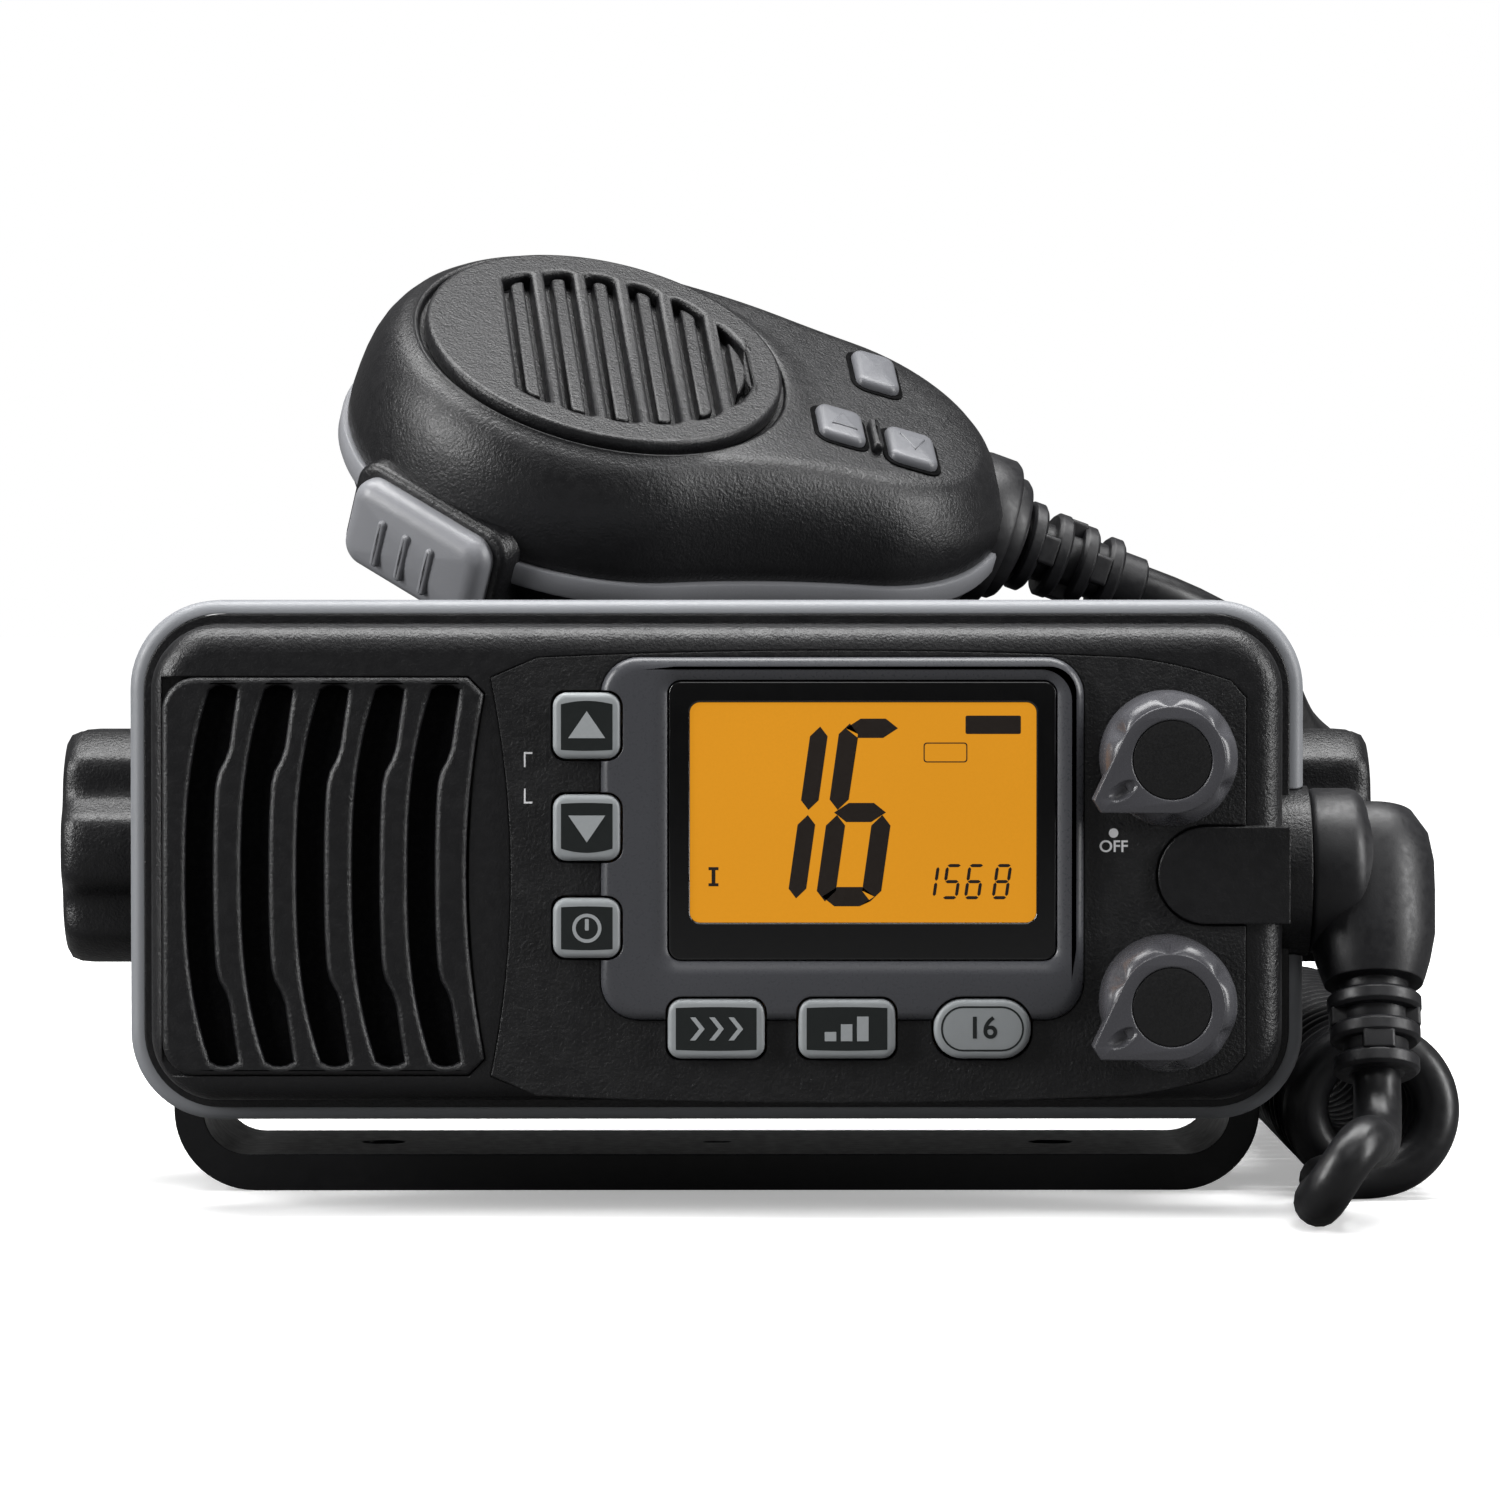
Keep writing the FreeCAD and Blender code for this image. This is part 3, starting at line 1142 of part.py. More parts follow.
def make_microphone():
    place = mic_placement()
    head = value("mic_head_radius")
    tail = value("mic_tail_radius")
    reach = value("mic_tail_reach")
    seam = -value("mic_seam")
    wall = value("mic_wall")
    band = value("mic_band_height")
    belly = -value("mic_belly")
    floor = -value("mic_depth")
    disc = value("mic_disc_radius")
    gap = value("fit_gap")
    face_head = head - 5
    face_tail = tail - 5
    far = 2 * head
    outer = pear_loft((
        (head, tail, reach, seam), (head - 0.9, tail - 1, reach, -5.2),
        (head - 2.2, tail - 2.3, reach, -1.9), (face_head, face_tail, reach, 0),
    ))
    slope = Part.Face(Part.makePolygon([
        Vector(22, -far, 0), Vector(90, -far, -10.2), Vector(90, -far, 6), Vector(22, -far, 6), Vector(22, -far, 0),
    ])).extrude(Vector(0, 2 * far, 0))
    outer = outer.cut(slope)
    inner = pear_loft(((head - wall, tail - wall, reach, seam),
                       (face_head - wall, face_tail - wall, reach, -wall)))
    inner = inner.cut(slope.translated(Vector(0, 0, -wall)))
    front = outer.cut(inner)
    well = Part.makeCylinder(disc + gap, 8, Vector(0, 0, -1.2))
    mouth = Part.makeCylinder(disc - 3, 12, Vector(0, 0, -6))
    front = front.cut(well).cut(mouth)
    angle = math.radians(value("talk_angle"))
    outward = Vector(math.cos(angle), -math.sin(angle), 0)
    along_side = Vector(-outward.y, outward.x, 0)
    half = value("talk_width / 2")
    tall = value("talk_height")
    talk_middle = seam - band / 2 - 2
    turn = Placement(Matrix(
        outward.x, along_side.x, 0, 0, outward.y, along_side.y, 0, 0, 0, 0, 1, 0, 0, 0, 0, 1))

    def at_side(shape):
        return shape.transformed(turn.toMatrix())

    near = head - 5
    margin = value("talk_margin")
    pocket = 2 + value("talk_travel") + margin
    window = at_side(Part.makeBox(pocket + 10, 2 * (half + margin), tall + 2 * margin,
                                  Vector(near - pocket, -half - margin, talk_middle - tall / 2 - margin)))
    keys = (("mic_power_key", 40.4, 10.2, 6.4, 9.4), ("mic_up_key", 33, -8.2, 6.8, 8.4),
            ("mic_down_key", 43.3, -9.1, 7.2, 8.6))
    travel = value("mic_key_travel")
    proud = value("mic_key_proud")
    for name, x, y, length, width in keys:
        hole = Part.makeBox(length + 0.6, width + 0.6, 12,
                            Vector(x - length / 2 - 0.3, y - width / 2 - 0.3, -10))
        front = front.cut(hole)
    front = front.cut(window)
    add_shape("mic_front_shell", front, place)
    ring_outer = pear_loft(((head + 0.7, tail + 0.5, reach, seam - band),
                            (head + 0.7, tail + 0.5, reach, seam)))
    ring_inner = pear_loft(((head - wall, tail - wall, reach, seam - band),
                            (head - wall, tail - wall, reach, seam)))
    add_shape("mic_band", ring_outer.cut(ring_inner).cut(window), place)
    rear = pear_loft(((head - 2.6, tail - 3, reach, belly), (head - 0.3, tail - 0.3, reach, seam - band)))
    bottom = pear_loft(((18, 7, reach, floor), (head - 2.6, tail - 3, reach, belly)))
    hollow = pear_loft(((head - 2.6 - wall, tail - 3 - wall, reach, belly),
                        (head - 0.3 - wall, tail - 0.3 - wall, reach, seam - band)))
    low_hollow = pear_loft(((16, 5, reach, floor + wall), (head - 2.6 - wall, tail - 3 - wall, reach, belly)))
    shell = rear.fuse(bottom).cut(hollow).cut(low_hollow)
    shell = shell.cut(window).removeSplitter()
    add_shape("mic_rear_shell", shell, place)
    plate = Part.makeCylinder(disc, 2.6, Vector(0, 0, -1.2))
    plate = plate.makeFillet(0.9, [edge for edge in edges_at(plate, 1.4)])
    count = int(value("mic_slot_count"))
    for index in range(count):
        x = index * value("mic_slot_pitch") - value("mic_slot_first")
        half_slot = math.sqrt((disc - 3.8) ** 2 - x ** 2) - 1.4
        width = value("mic_slot_width")
        plate = plate.cut(Part.makeBox(width, 2 * half_slot, 8, Vector(x - width / 2, -half_slot, -4)))
    add_shape("mic_grille", plate, place)
    baffle = Part.makeCylinder(disc - 1, 1.4, Vector(0, 0, -wall - 1.5))
    baffle = baffle.cut(Part.makeCylinder(5.2, 4, Vector(0, 0, -wall - 3)))
    add_shape("mic_baffle", baffle, place)
    add_shape("mic_capsule", Part.makeCylinder(4.9, 5.4, Vector(0, 0, -wall - 6.6)), place)
    board = pear_loft(((head - wall - 0.8, tail - wall - 0.8, reach, seam - 0.5),
                       (head - wall - 0.8, tail - wall - 0.8, reach, seam + 1.1)))
    clear = at_side(Part.makeBox(24, 2 * half + 2, 2 * tall, Vector(near - 6, -half - 1, talk_middle - tall)))
    add_shape("mic_circuit_board", board.cut(clear), place)
    for name, x, y, length, width in keys:
        low = seam + 1.1 + travel + 0.2
        top = proud - 0.15 * (x - 22)
        cap = Part.makeBox(length, width, proud + 2.6, Vector(x - length / 2, y - width / 2, top - proud - 2.6))
        cap = cap.makeFillet(1.6, [edge for edge in cap.Edges if edge.BoundBox.ZLength > 1])
        cap = cap.makeFillet(0.5, edges_at(cap, top))
        stem = Part.makeCylinder(1.8, top - proud - 2.6 - low, Vector(x, y, low))
        add_shape(name, cap.fuse(stem), place)
    talk = Part.makeBox(value("talk_proud") + 6, 2 * half, tall,
                        Vector(near - 2, -half, talk_middle - tall / 2))
    face_edges = [edge for edge in talk.Edges if edge.BoundBox.XMin > near - 2 + 1]
    talk = talk.makeFillet(1.8, face_edges)
    for index in range(3):
        x = near + value("talk_proud") + 4
        rib = Part.makeBox(1, 1.2, tall * 0.55, Vector(x - 0.4, -5.2 + 3.6 * index, talk_middle - tall * 0.28))
        talk = talk.fuse(rib)
    add_shape("talk_button", at_side(talk), place)
    stud = Part.makeCylinder(value("stud_neck"), value("stud_length") - 3, Vector(0, 0, floor), DOWN)
    knob = Part.makeCylinder(value("stud_radius"), 3.4,
                             Vector(0, 0, floor - value("stud_length") + 3.4), DOWN)
    knob = knob.makeFillet(0.8, knob.Edges[0:1])
    add_shape("hang_up_stud", stud.fuse(knob), place)
    shells = [outer, ring_outer, rear, bottom]
    return place, [shell.transformed(place.toMatrix()) for shell in shells]


def make_strain_relief(place, shells):
    """The ribbed relief at the microphone's tail; returns where the cord leaves it."""
    start = place.multVec(Vector(value("mic_tail_reach + mic_tail_radius") - 2.5, 0, -19))
    way = Vector(0.925, 0.20, -0.33).normalize()
    length = value("relief_length")
    radius = value("relief_radius")
    cone = Part.makeCone(radius, radius - 1.1, length, start, way)
    across = way.cross(UP).normalize()
    lift = across.cross(way)
    for index in range(4):
        middle = start + way * (7.6 + 4 * index)
        spread = lift if index % 2 else across
        other = across if index % 2 else lift
        for side in (-1, 1):
            cone = cone.cut(slot_block(middle, way, spread, other * side, 1.8, 14, 3))
    flange = Part.makeCylinder(radius + 4.4, 4.2, start - way * 1.6, way)
    collar = Part.makeCylinder(radius + 2.2, 5, start, way)
    relief = cone.fuse([flange, collar])
    for shell in shells:
        relief = relief.cut(shell)
    add_shape("mic_strain_relief", relief)
    return start + way * length, way


make_front_housing()
make_trim_ring()
make_speaker_grille()
make_control_fascia()
make_display()
make_keys()
make_speaker()
for dial_name, dial_above in DIALS:
    make_dial(dial_name, dial_above)
make_chassis()
make_screws()
make_pivots()
make_bracket()
make_clamp_knob("bracket_knob_left", -1)
make_clamp_knob("bracket_knob_right", 1)
mic_place, mic_solids = make_microphone()
exit_point, exit_way = make_strain_relief(mic_place, mic_solids)
make_cord(exit_point, exit_way)
doc.recompute()

for item in doc.Objects:
    if "Invalid" in item.State or "Error" in item.State:
        raise RuntimeError("%s failed: %s" % (item.Label, item.State))
for item in sub_parts:
    if item.Shape.isNull() or not item.Shape.isValid():
        raise RuntimeError("%s has no valid shape" % item.Label)

os.makedirs("parts", exist_ok=True)
for item in sub_parts:
    item.Shape.exportStep("parts/%s.step" % item.Label)
print("wrote %d pieces" % len(sub_parts))
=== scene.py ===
import logging
import math
from collections.abc import Callable, Iterable, Sequence
from dataclasses import dataclass, field
from enum import Enum

import bpy
from mathutils import Matrix, Vector


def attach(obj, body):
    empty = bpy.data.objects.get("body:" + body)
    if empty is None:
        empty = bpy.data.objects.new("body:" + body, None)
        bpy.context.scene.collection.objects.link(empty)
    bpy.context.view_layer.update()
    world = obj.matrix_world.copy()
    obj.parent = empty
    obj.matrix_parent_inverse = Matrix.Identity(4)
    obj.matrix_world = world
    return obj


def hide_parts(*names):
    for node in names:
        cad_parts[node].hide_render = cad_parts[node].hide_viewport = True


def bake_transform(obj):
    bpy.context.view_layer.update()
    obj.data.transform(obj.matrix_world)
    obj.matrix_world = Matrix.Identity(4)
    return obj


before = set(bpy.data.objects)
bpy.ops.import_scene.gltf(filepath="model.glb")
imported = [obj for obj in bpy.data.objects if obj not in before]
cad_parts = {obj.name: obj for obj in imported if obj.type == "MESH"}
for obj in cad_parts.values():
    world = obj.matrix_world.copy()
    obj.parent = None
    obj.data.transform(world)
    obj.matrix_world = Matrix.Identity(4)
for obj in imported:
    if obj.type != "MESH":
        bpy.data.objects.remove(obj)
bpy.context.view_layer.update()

logging.basicConfig(level=logging.INFO, format="%(levelname)s %(message)s")
LOG = logging.getLogger("marine_radio")

Flat = tuple[float, float]
Outline = list[Flat]
Ring = list[tuple[float, float, float]]
Piece = bpy.types.Object
Socket = bpy.types.NodeSocket
Tree = bpy.types.NodeTree
Node = bpy.types.Node

MM = 0.001  # a millimetre in metres
PIVOT = 46.2  # height of the clamp knobs' axis over the table
FASCIA = 60.5  # the control fascia's face, measured forward from that axis
SHARP = 38  # edges of lofted pieces that turn by more degrees stay sharp
DRAWN_SHARP = 40  # the same for plates and letters
PRINT_EDGE = 0.01  # edge radius of printed marks
TURN = 2 * math.pi
UP = Vector((0, 0, 1))
WORLD = Matrix.Identity(4)
RADIO = "radio"
MICROPHONE = "microphone"
MIX_SHARE, MIX_FIRST, MIX_SECOND, MIX_RESULT = 0, 6, 7, 2  # colour sockets of a mix node


class Seat(Enum):
    """Frames that pieces are drawn in, as the world directions of their own x, y and z."""

    FRONT = ((1, 0, 0), (0, 0, 1), (0, -1, 0))
    LEFT_SIDE = ((0, -1, 0), (0, 0, 1), (-1, 0, 0))
    RIGHT_SIDE = ((0, 1, 0), (0, 0, 1), (1, 0, 0))

    def at(self, origin: Sequence[float]) -> Matrix:
        """Matrix of this seat moved to an origin.

        Args:
            origin: world point in millimetres.
        Returns:
            The matrix from the piece's own millimetres to the world's.
        """
        return frame_matrix(origin, *(Vector(axis) for axis in self.value))


class Ends(Enum):
    """What a loft does at its first and last ring."""

    CAPPED = "a flat cap on both"
    OPEN = "both stay open"
    CLOSED = "the last ring joins the first"


def frame_matrix(origin: Sequence[float], x_axis: Vector, y_axis: Vector, z_axis: Vector) -> Matrix:
    """Matrix of a frame given by its origin and three directions."""
    rows = [[x_axis[i], y_axis[i], z_axis[i], origin[i]] for i in range(3)]
    return Matrix(rows + [[0, 0, 0, 1]])


FRONT_SEAT = Seat.FRONT.at((0, 0, PIVOT))


# Colours and shader nodes

def linear(code: str) -> tuple[float, ...]:
    """Linear colour of an sRGB hex code.

    Args:
        code: six hex digits after a hash sign.
    Returns:
        Linear red, green, blue and an alpha of one.
    """
    channels = [int(code[i:i + 2], 16) / 255 for i in (1, 3, 5)]
    straight = [c / 12.92 if c <= 0.04045 else ((c + 0.055) / 1.055) ** 2.4 for c in channels]
    return (*straight, 1.0)


def set_inputs(node: Node, values: dict) -> None:
    """Sets a node's unlinked inputs by name or index."""
    for name, number in values.items():
        node.inputs[name].default_value = number


def feed(node: Node, sources: dict) -> None:
    """Links output sockets to a node's inputs by name or index."""
    for name, source in sources.items():
        node.id_data.links.new(source, node.inputs[name])


def add_node(tree: Tree, kind: str, values: dict | None = None,
             sources: dict | None = None, **settings) -> Node:
    """Adds one shader node.

    Args:
        tree: the material's node tree.
        kind: the node's type name.
        values: input name or index to value.
        sources: input name or index to the output socket that feeds it.
        settings: attributes of the node.
    Returns:
        The node.
    """
    node = tree.nodes.new(kind)
    for name, setting in settings.items():
        setattr(node, name, setting)
    set_inputs(node, values or {})
    feed(node, sources or {})
    return node


def new_material(name: str) -> tuple:
    """A material with an empty tree.

    Args:
        name: the material's name.
    Returns:
        The material, its tree, its Principled shader and its object coordinates.
    """
    material = bpy.data.materials.new(name)
    material.use_nodes = True
    tree = material.node_tree
    tree.nodes.clear()
    shader = add_node(tree, "ShaderNodeBsdfPrincipled")
    add_node(tree, "ShaderNodeOutputMaterial", None, {"Surface": shader.outputs["BSDF"]})
    place = add_node(tree, "ShaderNodeTexCoord").outputs["Object"]
    return material, tree, shader, place


def noise(place: Socket, size_mm: float, detail: float = 2.0,
          roughness: float = 0.5) -> Socket:
    """Output of a noise whose features are about size_mm across."""
    values = {"Scale": 1 / (size_mm * MM), "Detail": detail, "Roughness": roughness}
    return add_node(place.id_data, "ShaderNodeTexNoise", values, {"Vector": place}).outputs["Fac"]


def ranged(source: Socket, low: float, high: float) -> Socket:
    """Output that leads the 0.3 to 0.7 in which a noise mostly stays to low and high."""
    values = {"From Min": 0.3, "From Max": 0.7, "To Min": low, "To Max": high}
    return add_node(source.id_data, "ShaderNodeMapRange", values, {"Value": source}).outputs[0]


def mixed(first: tuple | Socket, second: tuple | Socket,
          share: float | Socket, tree: Tree) -> Socket:
    """Output of a colour mix, each part of it a value or another node's output."""
    node = add_node(tree, "ShaderNodeMix", data_type="RGBA")
    for socket, part in ((MIX_FIRST, first), (MIX_SECOND, second), (MIX_SHARE, share)):
        act = feed if isinstance(part, Socket) else set_inputs
        act(node, {socket: part})
    return node.outputs[MIX_RESULT]


def tinted(shader: Node, source: Socket, code: str,
           spread: float) -> Socket:
    """Base colour that wanders about a hex colour.

    Args:
        shader: the Principled shader.
        source: the noise that leads the colour.
        code: the hex colour.
        spread: largest change as a share of the colour.
    Returns:
        The colour's output.
    """
    base = linear(code)[:3]
    darker = (*(c * (1 - spread) for c in base), 1.0)
    lighter = (*(min(1.0, c * (1 + spread)) for c in base), 1.0)
    colour = mixed(darker, lighter, source, shader.id_data)
    feed(shader, {"Base Color": colour})
    return colour


# Finishes

@dataclass(frozen=True)
class Finish:
    """What every finish has; slot is the record's material slot of pieces that wear it."""

    name: str
    colour: str
    roughness: float
    slot: str = field(default="black_moulding", kw_only=True)

    def cover(self, shader: Node, tint: Socket, spread: float,
              wear: Socket, swing: float) -> None:
        """Lets the colour wander by one noise and the roughness by another.

        Args:
            shader: the Principled shader.
            tint: noise of the colour.
            spread: largest change of the colour, as a share.
            wear: noise of the roughness.
            swing: largest change of the roughness, as a share.
        """
        tinted(shader, tint, self.colour, spread)
        rough = ranged(wear, self.roughness * (1 - swing), self.roughness * (1 + swing))
        feed(shader, {"Roughness": rough})


@dataclass(frozen=True)
class MouldedFinish(Finish):
    """A moulded or cast surface: spark-eroded grain, soft mottling and a small edge radius.

    The grain is two noises, one at the grain's size and one about three times as large; the edge
    radius catches a thin line of light along every corner, as a real mould's corner does.
    """

    grain_mm: float
    depth_mm: float
    edge_mm: float = 0.25
    mottle: float = 0.12
    specular: float = 0.5
    coat: float = 0.0
    subsurface: float = 0.0
    cloud_mm: float = 14.0
    broad_share: float = 0.4
    scatter_m: float = 0.002

    def build(self) -> bpy.types.Material:
        """Makes the material."""
        material, tree, shader, place = new_material(self.name)
        grain = noise(place, self.grain_mm, 3.0, 0.6)
        broad = noise(place, self.grain_mm * 3.4, 1.0)
        self.cover(shader, noise(place, self.cloud_mm), self.mottle, broad, 0.14)
        corner = add_node(tree, "ShaderNodeBevel", {"Radius": self.edge_mm * MM}, samples=4)
        height = add_node(tree, "ShaderNodeMath", {1: self.broad_share}, {0: broad, 2: grain},
                          operation="MULTIPLY_ADD")
        bump = add_node(tree, "ShaderNodeBump", {"Strength": 1.0, "Distance": self.depth_mm * MM},
                        {"Height": height.outputs[0], "Normal": corner.outputs["Normal"]})
        feed(shader, {"Normal": bump.outputs["Normal"]})
        set_inputs(shader, {
            "Specular IOR Level": self.specular, "Coat Weight": self.coat, "Coat Roughness": 0.08,
            "Subsurface Weight": self.subsurface, "Subsurface Radius": (self.scatter_m,) * 3})
        return material


@dataclass(frozen=True)
class MetalFinish(Finish):
    """A machined, plated or die-cast metal with fine tool marks."""

    mark_mm: float
    mark_depth_mm: float = 0.02

    def build(self) -> bpy.types.Material:
        """Makes the material."""
        material, tree, shader, place = new_material(self.name)
        marks = noise(place, self.mark_mm, 3.0)
        self.cover(shader, marks, 0.08, marks, 0.2)
        bump = add_node(tree, "ShaderNodeBump",
                        {"Strength": 0.4, "Distance": self.mark_depth_mm * MM}, {"Height": marks})
        feed(shader, {"Normal": bump.outputs["Normal"]})
        set_inputs(shader, {"Metallic": 1.0})
        return material


@dataclass(frozen=True)
class InkFinish(Finish):
    """Screen-printed ink: an even colour with the faint mottling of a thin print."""

    mesh_mm: float = 0.35

    def build(self) -> bpy.types.Material:
        """Makes the material."""
        material, _, shader, place = new_material(self.name)
        cover = noise(place, self.mesh_mm)
        self.cover(shader, cover, 0.06, cover, 0.1)
        return material


@dataclass(frozen=True)
class AmberCellFinish(Finish):
    """Backlit liquid crystal: amber light, unevenly bright, under clear glass."""

    glow: float
    glow_mm: float = 22.0
    weave_mm: float = 0.3

    def build(self) -> bpy.types.Material:
        """Makes the material."""
        material, tree, shader, place = new_material(self.name)
        uneven = noise(place, self.glow_mm, 1.0)
        weave = noise(place, self.weave_mm, 1.0)
        both = add_node(tree, "ShaderNodeMath", {2: 0.35}, {0: weave, 1: uneven},
                        operation="MULTIPLY_ADD")
        light = tinted(shader, both.outputs[0], self.colour, 0.05)
        feed(shader, {"Emission Color": light,
                      "Base Color": mixed(light, linear("#1a1006"), 0.8, tree)})
        set_inputs(shader, {"Emission Strength": self.glow, "Roughness": self.roughness,
                            "Specular IOR Level": 0.1})
        return material


FINISHES = (
    # Black ABS with a medium spark-eroded grain: satin highlights that break up on the grain.
    MouldedFinish("moulded_black_abs", "#121214", 0.36, 0.42, 0.11, edge_mm=0.35),
    # The same plastic with the coarse grain of the control panel: matt, clearly pebbled.
    MouldedFinish("coarse_grained_abs", "#0e0e10", 0.44, 0.5, 0.2, edge_mm=0.3),
    # Grey elastomer ring: a soft, even mid grey without a hard highlight.
    MouldedFinish("grey_elastomer", "#86888c", 0.42, 0.3, 0.02, edge_mm=0.3, mottle=0.05),
    # Satin metallic paint on the display frame: dark grey with a long smooth highlight.
    MouldedFinish("satin_paint", "#47484c", 0.3, 0.12, 0.006, edge_mm=0.3, mottle=0.05,
                  slot="bezel_grey"),
    # Back-printed acrylic: deep black under a polished surface.
    MouldedFinish("printed_acrylic", "#050506", 0.12, 0.8, 0.0005, edge_mm=0.1, mottle=0.02,
                  coat=1.0, slot="clear_lens"),
    # Translucent silicone keys: light grey that lets light in at its rims.
    MouldedFinish("grey_silicone", "#9a9ea0", 0.42, 0.2, 0.008, mottle=0.04, subsurface=0.25,
                  slot="grey_rubber"),
    # Black silicone gasket and membrane: matt, and darker than the plastics round it.
    MouldedFinish("black_silicone", "#0c0c0d", 0.6, 0.3, 0.01, edge_mm=0.2),
    # Smooth moulded knob: satin dark grey with a clean rounded highlight.
    MouldedFinish("knob_abs", "#4a4a4e", 0.26, 0.16, 0.006, edge_mm=0.2, mottle=0.05),
    # Knob cap: fine matt black.
    MouldedFinish("knob_cap_abs", "#101011", 0.42, 0.1, 0.004, edge_mm=0.1, mottle=0.04),
    # Flexible PVC jacket: dark grey, softly shining along the curve of the cord.
    MouldedFinish("pvc_jacket", "#151517", 0.36, 0.35, 0.008, edge_mm=0.1, mottle=0.08,
                  slot="pvc_cord"),
    # Moulded rubber of the plug boot and the strain relief: matt and a little dusty.
    MouldedFinish("boot_rubber", "#161619", 0.44, 0.3, 0.012, edge_mm=0.3, mottle=0.1,
                  slot="black_rubber"),
    # Powder-painted bracket: black with a fine orange-peel texture.
    MouldedFinish("bracket_moulding", "#111113", 0.34, 0.5, 0.02, edge_mm=0.4),
    # Black paint on the die-cast chassis: broad dull highlights on its fins.
    MouldedFinish("painted_casting", "#151619", 0.46, 0.6, 0.03, edge_mm=0.4),
    # Light grey pressed parts of the microphone: even, with a soft sheen.
    MouldedFinish("grey_key_abs", "#85868a", 0.36, 0.3, 0.02, edge_mm=0.4, mottle=0.04,
                  slot="grey_trim"),
    # The microphone's keys: the talk button's grey, darkened as painted shade because their faces turn up
    # to the light.
    MouldedFinish("key_cap_abs", "#68696d", 0.36, 0.3, 0.02, edge_mm=0.4, mottle=0.04,
                  slot="grey_trim"),
    # Woven black felt behind the loudspeaker's slots: swallows the light. The same near-black also fills
    # the gaps round the microphone's keys as painted shade.
    MouldedFinish("acoustic_felt", "#060607", 0.95, 0.25, 0.05, edge_mm=0.1, specular=0.1,
                  slot="black_rubber"),
    # Solder mask on glass epoxy: glossy dark green.
    MouldedFinish("solder_mask", "#1c4a2c", 0.35, 0.9, 0.01, edge_mm=0.1, coat=0.4),
    # Pressed paper cone of the loudspeaker: dull and fibrous.
    MouldedFinish("pressed_paper", "#1a1918", 0.85, 0.5, 0.04, edge_mm=0.1, specular=0.2),
    # Opal light guide behind the display: milky white with soft edges.
    MouldedFinish("opal_acrylic", "#d8d4c8", 0.3, 0.5, 0.002, edge_mm=0.1, subsurface=0.4),
    # Turned brass: warm yellow with fine tool marks.
    MetalFinish("turned_brass", "#b08d4a", 0.3, 0.2),
    # Nickel plating: pale and rather bright.
    MetalFinish("nickel_plating", "#b9b7b0", 0.25, 0.15),
    # Zinc-plated steel: a duller grey metal.
    MetalFinish("zinc_plated_steel", "#8f9092", 0.4, 0.2),
    # Inks: white on the panel, grey signs and black faces on the keys.
    InkFinish("white_ink", "#e4e4e6", 0.45),
    InkFinish("key_grey_ink", "#a4a8aa", 0.45, slot="grey_rubber"),
    InkFinish("key_black_ink", "#1a1e1e", 0.4, slot="grey_rubber"),
    # Driven segments of the liquid crystal: brown-black against the amber.
    InkFinish("dark_segment", "#1c120a", 0.5, slot="amber_cell"),
    # The lit cell: the brightest thing on the object.
    AmberCellFinish("amber_backlight", "#d8901f", 0.5, glow=0.86, slot="amber_cell"),
)


# Meshes

def link(piece: Piece) -> Piece:
    """Puts an object into the scene and returns it."""
    bpy.context.scene.collection.objects.link(piece)
    return piece


def evaluated_mesh(piece: Piece) -> bpy.types.Mesh:
    """A new mesh of an object as its curves or modifiers make it."""
    depsgraph = bpy.context.evaluated_depsgraph_get()
    return bpy.data.meshes.new_from_object(piece.evaluated_get(depsgraph))


def shade(mesh: bpy.types.Mesh, sharp: float) -> None:
    """Smooth shading, with edges kept sharp that turn by more than sharp degrees."""
    mesh.polygons.foreach_set("use_smooth", [True] * len(mesh.polygons))
    mesh.set_sharp_from_angle(angle=math.radians(sharp))
    mesh.update()


def mesh_object(name: str, points: Iterable, faces: list, seat: Matrix = WORLD,
                sharp: float = SHARP) -> Piece:
    """An object at the origin whose mesh holds its place.

    Args:
        name: the piece's name.
        points: vertices in millimetres.
        faces: vertex indices of each face.
        seat: matrix from the points' frame to the world, in millimetres.
        sharp: edges that turn by more than this many degrees stay sharp.
    Returns:
        The new object.
    """
    mesh = bpy.data.meshes.new(name)
    mesh.from_pydata([seat @ Vector(point) * MM for point in points], [], faces)
    mesh.validate()
    shade(mesh, sharp)
    return link(bpy.data.objects.new(name, mesh))


def loft(name: str, rings: list[Ring], seat: Matrix = WORLD, sharp: float = SHARP,
         ends: Ends = Ends.CAPPED) -> Piece:
    """A skin through rings of equally many points, counterclockwise seen from the last ring.

    Args:
        name: the piece's name.
        rings: the rings, first to last.
        seat: matrix of their frame.
        sharp: edges that turn by more than this many degrees stay sharp.
        ends: what happens at the first and last ring.
    Returns:
        The new object.
    """
    count = len(rings[0])
    faces = []
    for level in range(len(rings) if ends is Ends.CLOSED else len(rings) - 1):
        low = level * count
        high = (level + 1) % len(rings) * count
        for i in range(count):
            j = (i + 1) % count
            faces.append((low + i, low + j, high + j, high + i))
    if ends is Ends.CAPPED:
        last = (len(rings) - 1) * count
        faces.append(tuple(reversed(range(count))))
        faces.append(tuple(range(last, last + count)))
    return mesh_object(name, (point for ring in rings for point in ring), faces, seat, sharp)


def turned_ring(radius_at: Callable[[float], float], height: float, count: int) -> Ring:
    """Points at one height, their radius a function of the angle."""
    ring = []
    for index in range(count):
        angle = TURN * index / count
        radius = radius_at(angle)
        ring.append((radius * math.cos(angle), radius * math.sin(angle), height))
    return ring


